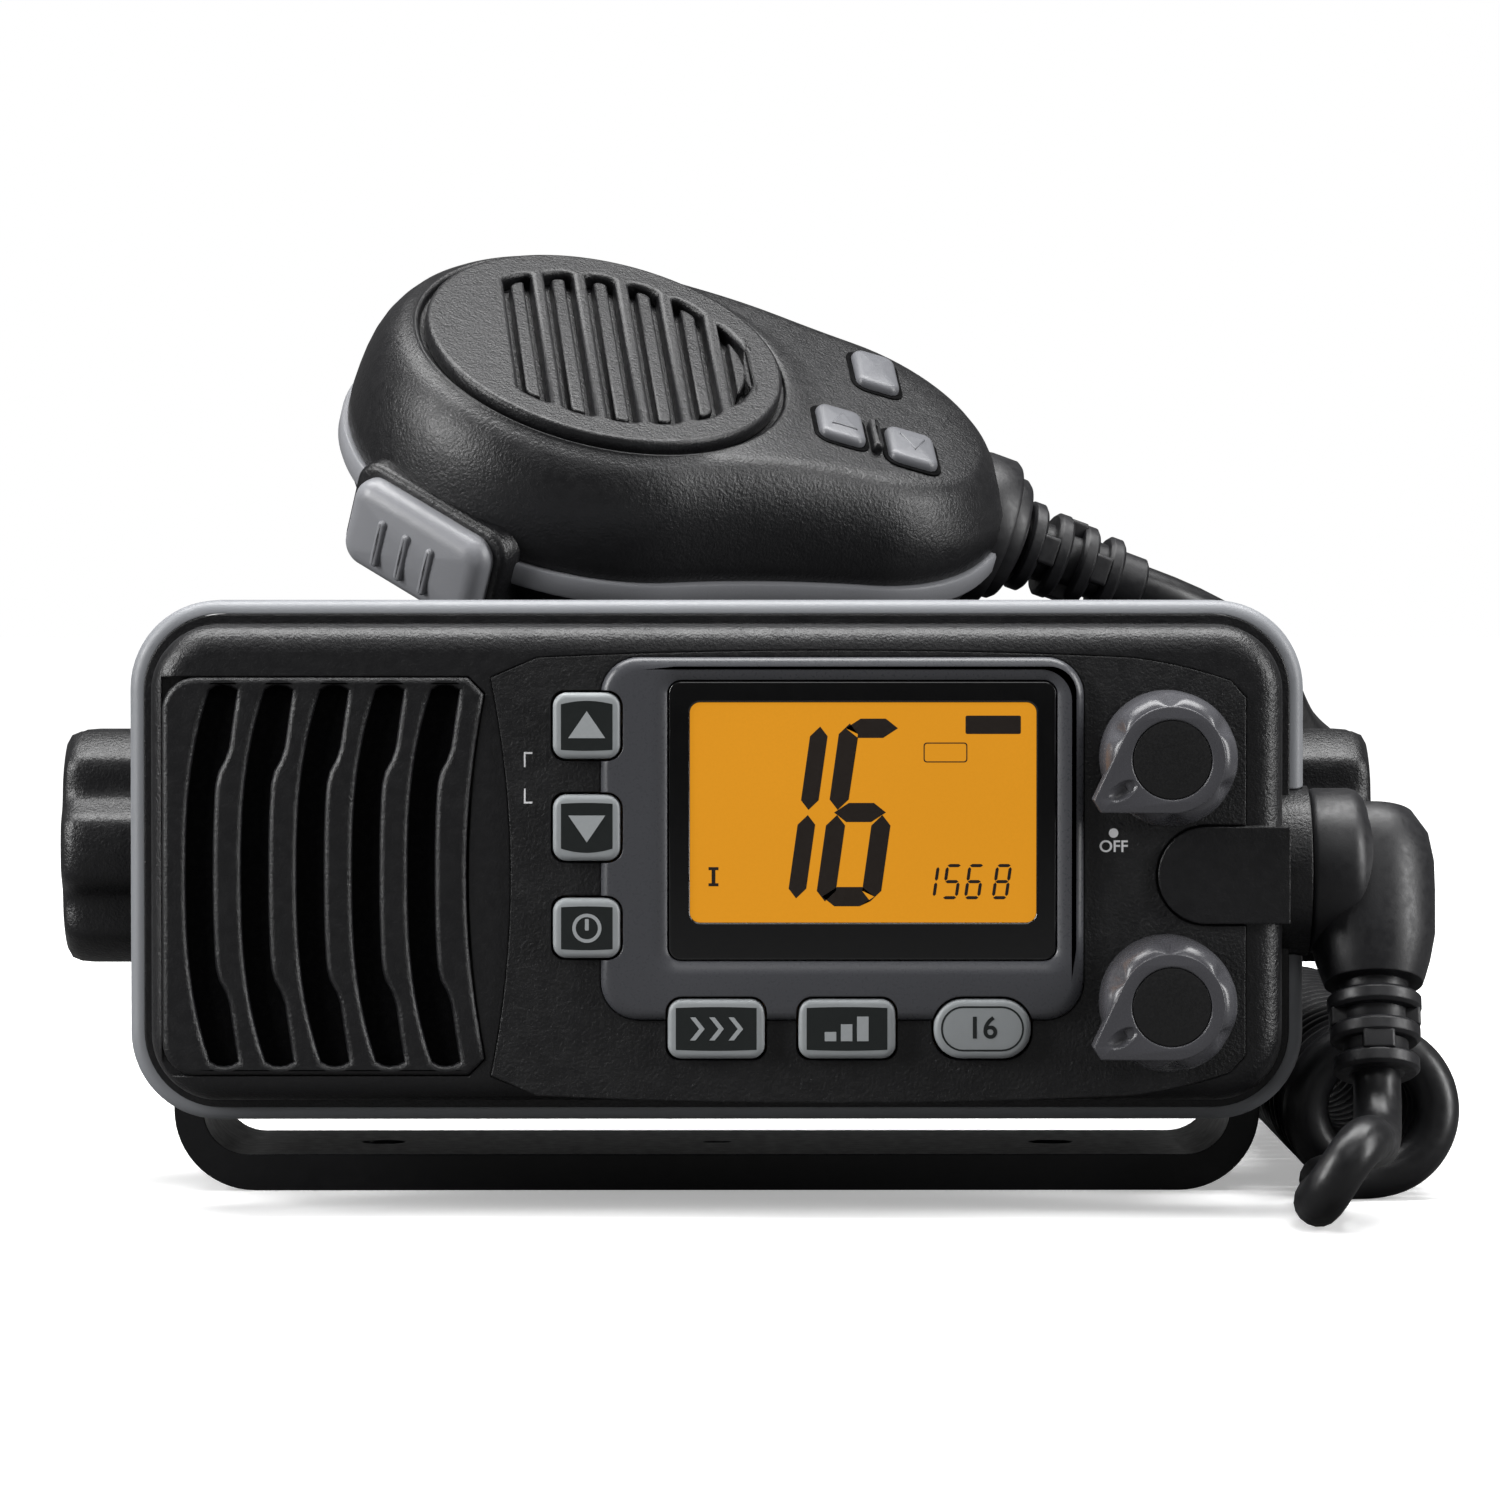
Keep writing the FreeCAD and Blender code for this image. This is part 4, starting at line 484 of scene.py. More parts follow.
def revolve(name: str, profile: Sequence[Flat], seat: Matrix, count: int = 64,
            sharp: float = SHARP) -> Piece:
    """A solid of revolution.

    Args:
        name: the piece's name.
        profile: (radius, height) stations from one end to the other.
        seat: matrix of its frame, whose z is the axis.
        count: points round it.
        sharp: edges that turn by more than this many degrees stay sharp.
    Returns:
        The new object.
    """
    rings = [turned_ring(lambda _, radius=radius: radius, height, count) for radius, height in profile]
    return loft(name, rings, seat, sharp)


def arc(centre: Sequence[float], radius: float, start: float, end: float, steps: int) -> Outline:
    """Points of an arc between two angles in degrees, both ends among them."""
    angles = [math.radians(start + (end - start) * step / steps) for step in range(steps + 1)]
    return [(centre[0] + radius * math.cos(a), centre[1] + radius * math.sin(a)) for a in angles]


def circle(centre: Flat, radius: float, count: int) -> Outline:
    """Outline of a circle through count points."""
    return arc(centre, radius, 0, 360 - 360 / count, count - 1)


def rounded_rectangle(width: float, height: float, corner: float, centre: Flat = (0, 0),
                      steps: int = 8) -> Outline:
    """Outline of a rectangle with round corners, counterclockwise from the right side.

    Args:
        width: size along x.
        height: size along y.
        corner: corner radius.
        centre: middle of the rectangle.
        steps: chords of each corner.
    Returns:
        The outline's points.
    """
    points = []
    for quarter, (x, y) in enumerate(((1, 1), (-1, 1), (-1, -1), (1, -1))):
        middle = (centre[0] + x * (width / 2 - corner), centre[1] + y * (height / 2 - corner))
        points += arc(middle, corner, 90 * quarter, 90 * (quarter + 1), steps)
    return points


def at_height(outline: Outline, height: float) -> Ring:
    """The outline's points at one height."""
    return [(x, y, height) for x, y in outline]


@dataclass(frozen=True)
class Cushion:
    """A key-like block with rounded corners, a rounded upper edge and a slight crown."""

    width: float
    height: float
    corner: float
    base: float
    top: float
    edge: float
    crown: float = 0.0
    centre: Flat = (0, 0)
    edge_steps: int = 5
    least_corner: float = 0.2

    def ring(self, width: float, height: float, corner: float, level: float) -> Ring:
        """One rounded rectangle of the block at a level."""
        outline = rounded_rectangle(width, height, max(self.least_corner, corner), self.centre)
        return at_height(outline, level)

    def build(self, name: str, seat: Matrix) -> Piece:
        """Makes the block in a seat."""
        rings = [self.ring(self.width, self.height, self.corner, self.base)]
        for step in range(self.edge_steps + 1):
            angle = math.pi / 2 * step / self.edge_steps
            inset = self.edge * (1 - math.cos(angle))
            rings.append(self.ring(self.width - 2 * inset, self.height - 2 * inset,
                                   self.corner - inset,
                                   self.top - self.edge * (1 - math.sin(angle))))
        for share in (0.75, 0.5, 0.25):
            rings.append(self.ring((self.width - 2 * self.edge) * share,
                                   (self.height - 2 * self.edge) * share,
                                   (self.corner - self.edge) * share,
                                   self.top + self.crown * (1 - share ** 2)))
        return loft(name, rings, seat)


def from_curve(name: str, curve: bpy.types.Curve, seat: Matrix) -> Piece:
    """A mesh piece from a curve or text drawn in a seat's millimetres."""
    drawn = link(bpy.data.objects.new(name + "_drawn", curve))
    mesh = evaluated_mesh(drawn)
    bpy.data.objects.remove(drawn)
    mesh.transform(Matrix.Scale(MM, 4) @ seat)
    mesh.name = name
    shade(mesh, DRAWN_SHARP)
    return link(bpy.data.objects.new(name, mesh))


def plate(name: str, outlines: Sequence[Sequence[Flat]], rear: float, front: float, seat: Matrix,
          edge: float) -> Piece:
    """A flat plate with rounded edges.

    Args:
        name: the piece's name.
        outlines: closed outlines, those inside another being holes.
        rear: height of the rear face.
        front: height of the front face.
        seat: matrix of its frame.
        edge: edge radius.
    Returns:
        The new object.
    """
    curve = bpy.data.curves.new(name, "CURVE")
    curve.dimensions = "2D"
    curve.fill_mode = "BOTH"
    curve.extrude = (front - rear) / 2 - edge
    curve.bevel_depth = edge
    curve.bevel_resolution = 2
    curve.offset = -edge
    for outline in outlines:
        spline = curve.splines.new("POLY")
        spline.points.add(len(outline) - 1)
        for point, (x, y) in zip(spline.points, outline):
            point.co = (x, y, 0, 1)
        spline.use_cyclic_u = True
    return from_curve(name, curve, seat @ Matrix.Translation((0, 0, (front + rear) / 2)))


def front_print(name: str, outlines: Sequence[Sequence[Flat]], surface: float, ink: Flat) -> Piece:
    """A thin print on the radio's front; ink is its rear and front, from the surface's height."""
    return plate(name, outlines, surface + ink[0], surface + ink[1], FRONT_SEAT, PRINT_EDGE)


def lettering(name: str, text: str, height: float, centre: Flat, surface: float, ink: Flat) -> Piece:
    """Generic lettering as a thin raised print on the radio's front.

    Args:
        name: the piece's name.
        text: what it says.
        height: height of its capitals.
        centre: its middle on the front.
        surface: height of the surface under it.
        ink: its rear and front, from that height.
    Returns:
        The new object.
    """
    size_per_capital = 1.38
    stroke_growth = 0.02
    rear, front = surface + ink[0], surface + ink[1]
    curve = bpy.data.curves.new(name, "FONT")
    curve.body = text
    curve.size = height * size_per_capital
    curve.align_x = "CENTER"
    curve.align_y = "CENTER"
    curve.extrude = (front - rear) / 2
    curve.offset = height * stroke_growth
    place = Matrix.Translation((*centre, (front + rear) / 2))
    return from_curve(name, curve, FRONT_SEAT @ place)


def carve(piece: Piece, tools: list[Piece]) -> Piece:
    """Takes the tools' volumes out of a piece, removes the tools and returns the piece."""
    for tool in tools:
        modifier = piece.modifiers.new("carve", "BOOLEAN")
        modifier.operation = "DIFFERENCE"
        modifier.solver = "EXACT"
        modifier.object = tool
    mesh = evaluated_mesh(piece)
    piece.modifiers.clear()
    piece.data = mesh
    shade(mesh, SHARP)
    for tool in tools:
        bpy.data.objects.remove(tool)
    return piece


class Workshop:
    """Gives every piece its body and finish, and keeps count of them."""

    def __init__(self, finishes: Iterable[Finish]) -> None:
        """Builds the finishes' materials."""
        self.materials = {finish.name: finish.build() for finish in finishes}
        self.slots = {finish.name: finish.slot for finish in finishes}
        self.count = 0

    def put(self, piece: Piece, body: str, finish: str, *replaces: str,
            slot: str | None = None) -> Piece:
        """Gives a finished piece its finish and body, hides the CAD nodes it replaces, and counts it.

        Args:
            piece: the object.
            body: the body it rides on.
            finish: the finish's name.
            replaces: CAD nodes that it stands for.
            slot: not used.
        Returns:
            The same object.
        """
        piece.data.materials.clear()
        piece.data.materials.append(self.materials[finish])
        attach(piece, body)
        if replaces:
            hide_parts(*replaces)
        self.count += 1
        LOG.info("piece %s on %s in %s", piece.name, body, finish)
        return piece

    def dress(self, finishes: dict[str, str]) -> None:
        """Gives CAD nodes their finishes.

        Args:
            finishes: node name to the finish's name.
        """
        for node, finish in finishes.items():
            piece = bpy.data.objects[node]
            material = self.materials[finish]
            if not piece.material_slots:
                piece.data.materials.append(material)
            for material_slot in piece.material_slots:
                material_slot.link = "OBJECT"
                material_slot.material = material


# Radio front

@dataclass
class FrontPanel:
    """Loudspeaker grille, felt and the finishes of the moulded front.

    Each slot is a crescent: bend gives a side's share of the swing and the power it grows by, and
    the right side jogs outward where its height passes jog_at of the slot's half height.
    """

    left: float = -72.2
    right: float = -30.2
    top: float = 24.3
    bottom: float = -27.6
    corner: float = 4.4
    cut: float = 2.2
    hollow: float = 2.4
    hollow_steps: int = 16
    slots: int = 5
    first_slot: float = -67.4
    slot_pitch: float = 7.22
    slot_width: float = 3.5
    slot_half: float = 24.2
    slot_drop: float = -1.6
    swing: float = 3.3
    left_bend: Flat = (0.95, 2.6)
    right_bend: Flat = (0.55, 2.4)
    left_steps: int = 24
    right_steps: int = 32
    jog: float = 1.45
    jog_at: float = 0.6
    jog_steepness: float = 34
    thickness: float = 2.0
    edge: float = 0.75
    felt: Flat = (39, 49.6)
    felt_corner: float = 3.0
    felt_levels: Flat = (0.02, 0.25)
    felt_centre: Flat = (-51.6, -1.6)

    def outline(self) -> Outline:
        """The grille's outline: round left corners and a hollow right side."""
        x = self.left + self.corner
        points = arc((x, self.top - self.corner), self.corner, 90, 180, 8)
        points += arc((x, self.bottom + self.corner), self.corner, 180, 270, 8)
        points += [(self.right - self.cut, self.bottom), (self.right, self.bottom + self.cut)]
        span = self.top - self.bottom - 2 * self.cut
        middle = (self.top + self.bottom) / 2
        for step in range(1, self.hollow_steps):
            height = self.bottom + self.cut + span * step / self.hollow_steps
            bow = self.hollow * (1 - ((height - middle) / (span / 2)) ** 2)
            points.append((self.right - bow, height))
        points += [(self.right, self.top - self.cut), (self.right - self.cut, self.top)]
        return points

    def side(self, x: float, bend: Flat, steps: int, way: int, jog: float) -> Outline:
        """One side of a slot.

        Args:
            x: the side's place at half height.
            bend: share of the swing and the power it grows by.
            steps: chords of the side.
            way: 1 from the bottom up, -1 from the top down.
            jog: how far the ends stand further out.
        Returns:
            The side's points.
        """
        share_of_swing, power = bend
        points = []
        for step in range(steps + 1):
            level = way * (2 * step / steps - 1)
            step_out = jog / (1 + math.exp(-(abs(level) - self.jog_at) * self.jog_steepness))
            points.append((x + step_out + self.swing * share_of_swing * abs(level) ** power,
                           self.slot_half * level + self.slot_drop))
        return points

    @staticmethod
    def slot_end(first: Flat, last: Flat, towards: int) -> Outline:
        """Points of a slot's round end.

        Args:
            first: where one side ends.
            last: where the other side starts.
            towards: 1 at the top, -1 at the bottom.
        Returns:
            The points between them.
        """
        sink = 0.4
        flatness = 0.55
        steps = 6
        x = (first[0] + last[0]) / 2
        y = first[1] - towards * sink
        radius = (last[0] - first[0]) / 2
        height = towards * flatness * abs(radius)
        return [(x - radius * math.cos(math.pi * k / steps), y + height * math.sin(math.pi * k / steps))
                for k in range(1, steps)]

    def slot(self, index: int) -> Outline:
        """One crescent slot with round ends."""
        x = self.first_slot + index * self.slot_pitch
        half = self.slot_width / 2
        left = self.side(x - half, self.left_bend, self.left_steps, -1, 0.0)
        right = self.side(x + half, self.right_bend, self.right_steps, 1, self.jog)
        bottom = self.slot_end(left[-1], right[0], -1)
        top = self.slot_end(right[-1], left[0], 1)
        return left + bottom + right + top

    def build(self, shop: Workshop) -> None:
        """Makes the grille and dresses the moulded front."""
        outlines = [self.outline()] + [self.slot(i) for i in range(self.slots)]
        rear = FASCIA - self.thickness
        grille = plate("grille_face", outlines, rear, FASCIA, FRONT_SEAT, self.edge)
        shop.put(grille, RADIO, "moulded_black_abs", "speaker_grille")
        cloth = rounded_rectangle(*self.felt, self.felt_corner, self.felt_centre)
        low, high = (rear + level for level in self.felt_levels)
        felt = plate("grille_felt", [cloth], low, high, FRONT_SEAT, edge=0.05)
        shop.put(felt, RADIO, "acoustic_felt")
        shop.dress({
            "front_housing": "moulded_black_abs", "trim_ring": "grey_elastomer",
            "control_fascia": "coarse_grained_abs", "housing_gasket": "black_silicone",
            "keypad_membrane": "grey_silicone", "front_circuit_board": "solder_mask",
            "speaker_basket": "zinc_plated_steel", "speaker_cone": "pressed_paper",
            "speaker_magnet": "zinc_plated_steel", "lcd_backlight": "opal_acrylic",
            "microphone_socket": "nickel_plating",
        })


class Sign(Enum):
    """Signs of the front keys."""

    UP = "arrow head up"
    DOWN = "arrow head down"
    WATCH = "ring with a hand"
    SCAN = "three chevrons"
    STEPS = "three rising bars"
    SIXTEEN = "the number 16"


@dataclass(frozen=True)
class Key:
    """A front key and the sign printed on it."""

    name: str
    x: float
    y: float
    width: float
    height: float
    corner: float
    sign: Sign
    arch_top: float = 0.12
    arch_bottom: float = 0.12


@dataclass(frozen=True)
class Digit:
    """A slanted seven-segment digit of the display, placed from the cell's centre."""

    left: float
    width: float
    height: float
    thick: float
    lit: str
    gap: float = 0.32
    drop: float = 0.0
    slant: float = 0.14
    tip: float = 0.2
    shoulder: float = 0.9
    point: float = 0.55
    clearance: float = 0.3

    def across(self, y: float) -> Outline:
        """A lying segment at a height."""
        half = self.thick / 2
        right = self.left + self.width
        tip = self.gap + self.thick * self.tip
        shoulder = self.gap + self.thick * self.shoulder
        return [(self.left + tip, y), (self.left + shoulder, y + half), (right - shoulder, y + half),
                (right - tip, y), (right - shoulder, y - half), (self.left + shoulder, y - half)]

    def upright(self, x: float, low: float, high: float) -> Outline:
        """A standing segment between two heights."""
        point = self.thick * self.point
        middle = x + self.thick / 2
        right = x + self.thick
        return [(x, low + point), (middle, low), (right, low + point),
                (right, high - point), (middle, high), (x, high - point)]

    def outlines(self, centre: Flat) -> list[Outline]:
        """Outlines of the segments that show, a to g as usual, about the cell's centre."""
        top = self.height / 2
        lying = top - self.thick / 2
        reach = top - self.gap - self.clearance
        right = self.left + self.width - self.thick
        forms = {
            "a": self.across(lying), "g": self.across(0), "d": self.across(-lying),
            "f": self.upright(self.left, self.gap, reach),
            "e": self.upright(self.left, -reach, -self.gap),
            "b": self.upright(right, self.gap, reach),
            "c": self.upright(right, -reach, -self.gap),
        }
        return [[(centre[0] + x + self.slant * y, centre[1] + y - self.drop) for x, y in forms[name]]
                for name in self.lit]


@dataclass
class Display:
    """Bezel frame, printed window and the lit characters."""

    keys: tuple[Key, ...]
    centre: Flat = (16.3, 3.3)
    size: Flat = (62.8, 47.2)
    corner: float = 5.0
    window_centre: Flat = (18.9, 5.65)
    window: Flat = (50.4, 36.3)
    cell_centre: Flat = (19.0, 6.7)
    cell: Flat = (45.0, 28.6)
    window_corner: float = 1.6
    opening_corner: float = 1.3
    lens_rear: float = 58.5
    lens_front: float = 61.3
    cell_margin: float = 0.5
    cell_corner: float = 1.4
    cell_rear: float = 59.2
    cell_front: float = 61.0
    ink: Flat = (-0.02, 0.03)
    # Inset and level over the fascia, up the rim's outside and down to the window.
    outside: tuple = ((0, -2.0), (0, 0.0), (0.05, 0.5), (0.35, 1.0), (0.9, 1.32), (1.6, 1.4))
    inside: tuple = ((2.6, 1.4), (1.6, 1.35), (0.7, 1.05), (0.15, 0.65), (0.0, -0.6), (0.0, -2.0))
    corner_loss: float = 0.6
    inner_corner: float = 1.7
    corner_gain: float = 0.7
    most_grow: float = 1.9
    corner_steps: int = 10
    key_gap: float = 0.3
    notch_levels: Flat = (50, 70)
    channel: tuple = (Digit(-13.0, 7.0, 23.6, 2.3, "bc"), Digit(-4.6, 8.4, 24.4, 2.5, "acdefg"))
    small: tuple = ((7.6, "bc"), (10.5, "acdfg"), (13.4, "acdefg"), (17.0, "abcdefg"))
    level_mark: tuple = (
        (-20.1, -9.6), (-18.8, -9.6), (-18.8, -9.2), (-19.2, -9.2), (-19.2, -7.5), (-18.8, -7.5),
        (-18.8, -7.1), (-20.1, -7.1), (-20.1, -7.5), (-19.7, -7.5), (-19.7, -9.2), (-20.1, -9.2))

    def bezel(self) -> Piece:
        """The frame: a rounded rim that slopes down to the window, notched for the keys."""
        rings = []
        for inset, level in self.outside:
            outline = rounded_rectangle(self.size[0] - 2 * inset, self.size[1] - 2 * inset,
                                        self.corner - inset * self.corner_loss, self.centre,
                                        self.corner_steps)
            rings.append(at_height(outline, FASCIA + level))
        for grow, level in self.inside:
            outline = rounded_rectangle(self.window[0] + 2 * grow,
                                        self.window[1] + 2 * min(grow, self.most_grow),
                                        self.inner_corner + grow * self.corner_gain,
                                        self.window_centre, self.corner_steps)
            rings.append(at_height(outline, FASCIA + level))
        rim = loft("bezel_frame", rings, FRONT_SEAT, ends=Ends.CLOSED)
        notches = []
        for key in self.keys:
            outline = rounded_rectangle(key.width + 2 * self.key_gap, key.height + 2 * self.key_gap,
                                        key.corner + self.key_gap, (key.x, key.y))
            rings = [at_height(outline, level) for level in self.notch_levels]
            notches.append(loft("notch", rings, FRONT_SEAT))
        return carve(rim, notches)

    def mark(self, shop: Workshop, name: str, outlines: Sequence[Sequence[Flat]]) -> None:
        """Dark segments on the cell's face."""
        shop.put(front_print(name, outlines, self.cell_front, self.ink), RADIO, "dark_segment")

    def box(self, size: Flat, corner: float, offset: Flat, steps: int) -> Outline:
        """A small box placed from the cell's centre."""
        centre = (self.cell_centre[0] + offset[0], self.cell_centre[1] + offset[1])
        return rounded_rectangle(*size, corner, centre, steps)

    def build(self, shop: Workshop) -> None:
        """Makes the display."""
        shop.put(self.bezel(), RADIO, "satin_paint", "display_bezel")
        window = rounded_rectangle(*self.window, self.window_corner, self.window_centre)
        opening = rounded_rectangle(*self.cell, self.opening_corner, self.cell_centre)
        border = plate("window_border", [window, opening], self.lens_rear, self.lens_front,
                       FRONT_SEAT, edge=0.25)
        shop.put(border, RADIO, "printed_acrylic", "display_lens")
        face = rounded_rectangle(self.cell[0] + 2 * self.cell_margin,
                                 self.cell[1] + 2 * self.cell_margin, self.cell_corner,
                                 self.cell_centre)
        lit = plate("amber_face", [face], self.cell_rear, self.cell_front, FRONT_SEAT, edge=0.05)
        shop.put(lit, RADIO, "amber_backlight", "lcd_module")
        small = tuple(Digit(left, 2.1, 4.6, 0.42, shown, gap=0.1, drop=9.0)
                      for left, shown in self.small)
        self.mark(shop, "lcd_characters", [
            outline for digit in self.channel + small for outline in digit.outlines(self.cell_centre)])
        self.mark(shop, "lcd_status_box", [self.box((7.2, 2.4), 0.2, (16.9, 11.4), 2)])
        self.mark(shop, "lcd_outline_box", [self.box((5.7, 2.6), 0.4, (10.7, 7.8), 3),
                                            self.box((5.4, 2.3), 0.3, (10.7, 7.8), 3)])
        cx, cy = self.cell_centre
        self.mark(shop, "lcd_level_mark", [[(cx + x, cy + y) for x, y in self.level_mark]])


@dataclass
class Keypad:
    """Six silicone keys with printed faces, and the marks printed beside them."""

    top: float = FASCIA + 1.6
    base: float = 56.8
    edge: float = 0.75
    face_inset: float = 1.05
    arch_steps: int = 12
    hook_x: float = -25.1
    face_ink: Flat = (-0.1, 0.02)
    number_ink: Flat = (-0.1, 0.03)
    sign_ink: Flat = (-0.05, 0.05)
    panel_ink: Flat = (-0.05, 0.03)
    off: Flat = (51.6, 2.2)
    keys: tuple[Key, ...] = (
        Key("up_key", -16.9, 18.0, 8.8, 8.6, 1.8, Sign.UP, arch_top=0.45),
        Key("down_key", -16.9, 4.75, 8.8, 8.6, 1.8, Sign.DOWN, arch_bottom=0.55),
        Key("watch_key", -16.9, -8.3, 8.8, 7.8, 1.8, Sign.WATCH),
        Key("scan_key", -0.1, -21.4, 12.6, 7.8, 1.8, Sign.SCAN),
        Key("channel_key", 16.9, -21.4, 12.6, 7.8, 1.8, Sign.STEPS),
        Key("calling_key", 34.5, -21.4, 12.6, 7.8, 3.7, Sign.SIXTEEN),
    )

    def face(self, key: Key) -> Outline:
        """The printed face's outline: straight sides, top and bottom arched."""
        half_width = key.width / 2 - self.face_inset
        half_height = key.height / 2 - self.face_inset
        shares = [2 * step / self.arch_steps - 1 for step in range(self.arch_steps + 1)]
        points = [(key.x + share * half_width, key.y - half_height + key.arch_bottom * share ** 2)
                  for share in shares]
        points += [(key.x - share * half_width, key.y + half_height - key.arch_top * share ** 2)
                   for share in shares]
        return points

    def sign(self, key: Key) -> list[Outline]:
        """Outlines of the sign on a key."""
        x, y = key.x, key.y
        if key.sign is Sign.UP:
            return [[(x - 2.4, y - 1.6), (x + 2.4, y - 1.6), (x, y + 1.9)]]
        if key.sign is Sign.DOWN:
            return [[(x - 2.4, y + 1.6), (x, y - 1.9), (x + 2.4, y + 1.6)]]
        if key.sign is Sign.WATCH:
            rims = [arc((x, y), radius, 0, 350, 24) for radius in (1.9, 1.45)]
            return rims + [rounded_rectangle(0.5, 1.5, 0.1, (x, y + 0.45), 2)]
        if key.sign is Sign.SCAN:
            chevron = ((0, -1.5), (0.7, -1.5), (1.9, 0), (0.7, 1.5), (0, 1.5), (1.2, 0))
            return [[(x - 0.9 + pitch + px, y + py) for px, py in chevron] for pitch in (-2.5, 0, 2.5)]
        bars = []
        for index in range(3):
            left = x - 2.9 + index * 2.1
            top = y - 0.4 + index
            bars.append([(left, y - 1.6), (left + 1.5, y - 1.6), (left + 1.5, top), (left, top)])
        return bars

    def number(self, shop: Workshop, key: Key) -> None:
        """The ring and the number of the calling key."""
        centre = (key.x, key.y)
        rings = [rounded_rectangle(10.8, 5.9, 2.9, centre), rounded_rectangle(10.3, 5.4, 2.65, centre)]
        rim = front_print(key.name + "_line", rings, self.top, self.face_ink)
        shop.put(rim, key.name, "key_black_ink")
        number = lettering(key.name + "_number", "16", 2.9, centre, self.top, self.number_ink)
        shop.put(number, key.name, "key_black_ink")

    def build(self, shop: Workshop) -> None:
        """Makes the keys and the marks."""
        for key in self.keys:
            block = Cushion(key.width, key.height, key.corner, self.base, self.top, self.edge,
                            centre=(key.x, key.y))
            shop.put(block.build(key.name + "_cap", FRONT_SEAT), key.name, "grey_silicone", key.name)
            if key.sign is Sign.SIXTEEN:
                self.number(shop, key)
                continue
            face = front_print(key.name + "_face", [self.face(key)], self.top, self.face_ink)
            shop.put(face, key.name, "key_black_ink")
            sign = front_print(key.name + "_sign", self.sign(key), self.top, self.sign_ink)
            shop.put(sign, key.name, "key_grey_ink")
        self.marks(shop)

    def hook(self, y: float, way: int) -> Outline:
        """One bracket beside the arrow keys, its foot at a height and its arm up or down."""
        x = self.hook_x
        width = 0.22
        arm = 1.1
        under = y + way * 1.7
        over = y + way * 1.95
        return [(x, y), (x + width, y), (x + width, under), (x + arm, under), (x + arm, over), (x, over)]

    def marks(self, shop: Workshop) -> None:
        """Two printed brackets that tie the arrow keys, and the off mark of the volume knob."""
        x, y = self.off
        hooks = [self.hook(12.6, 1), self.hook(9.8, -1)]
        pieces = (
            front_print("key_pair_brackets", hooks, FASCIA, self.panel_ink),
            front_print("off_dot", [circle((x, y + 1.8), 0.62, 24)], FASCIA, self.panel_ink),
            lettering("off_mark", "OFF", 1.55, self.off, FASCIA, self.panel_ink))
        for piece in pieces:
            shop.put(piece, RADIO, "white_ink")


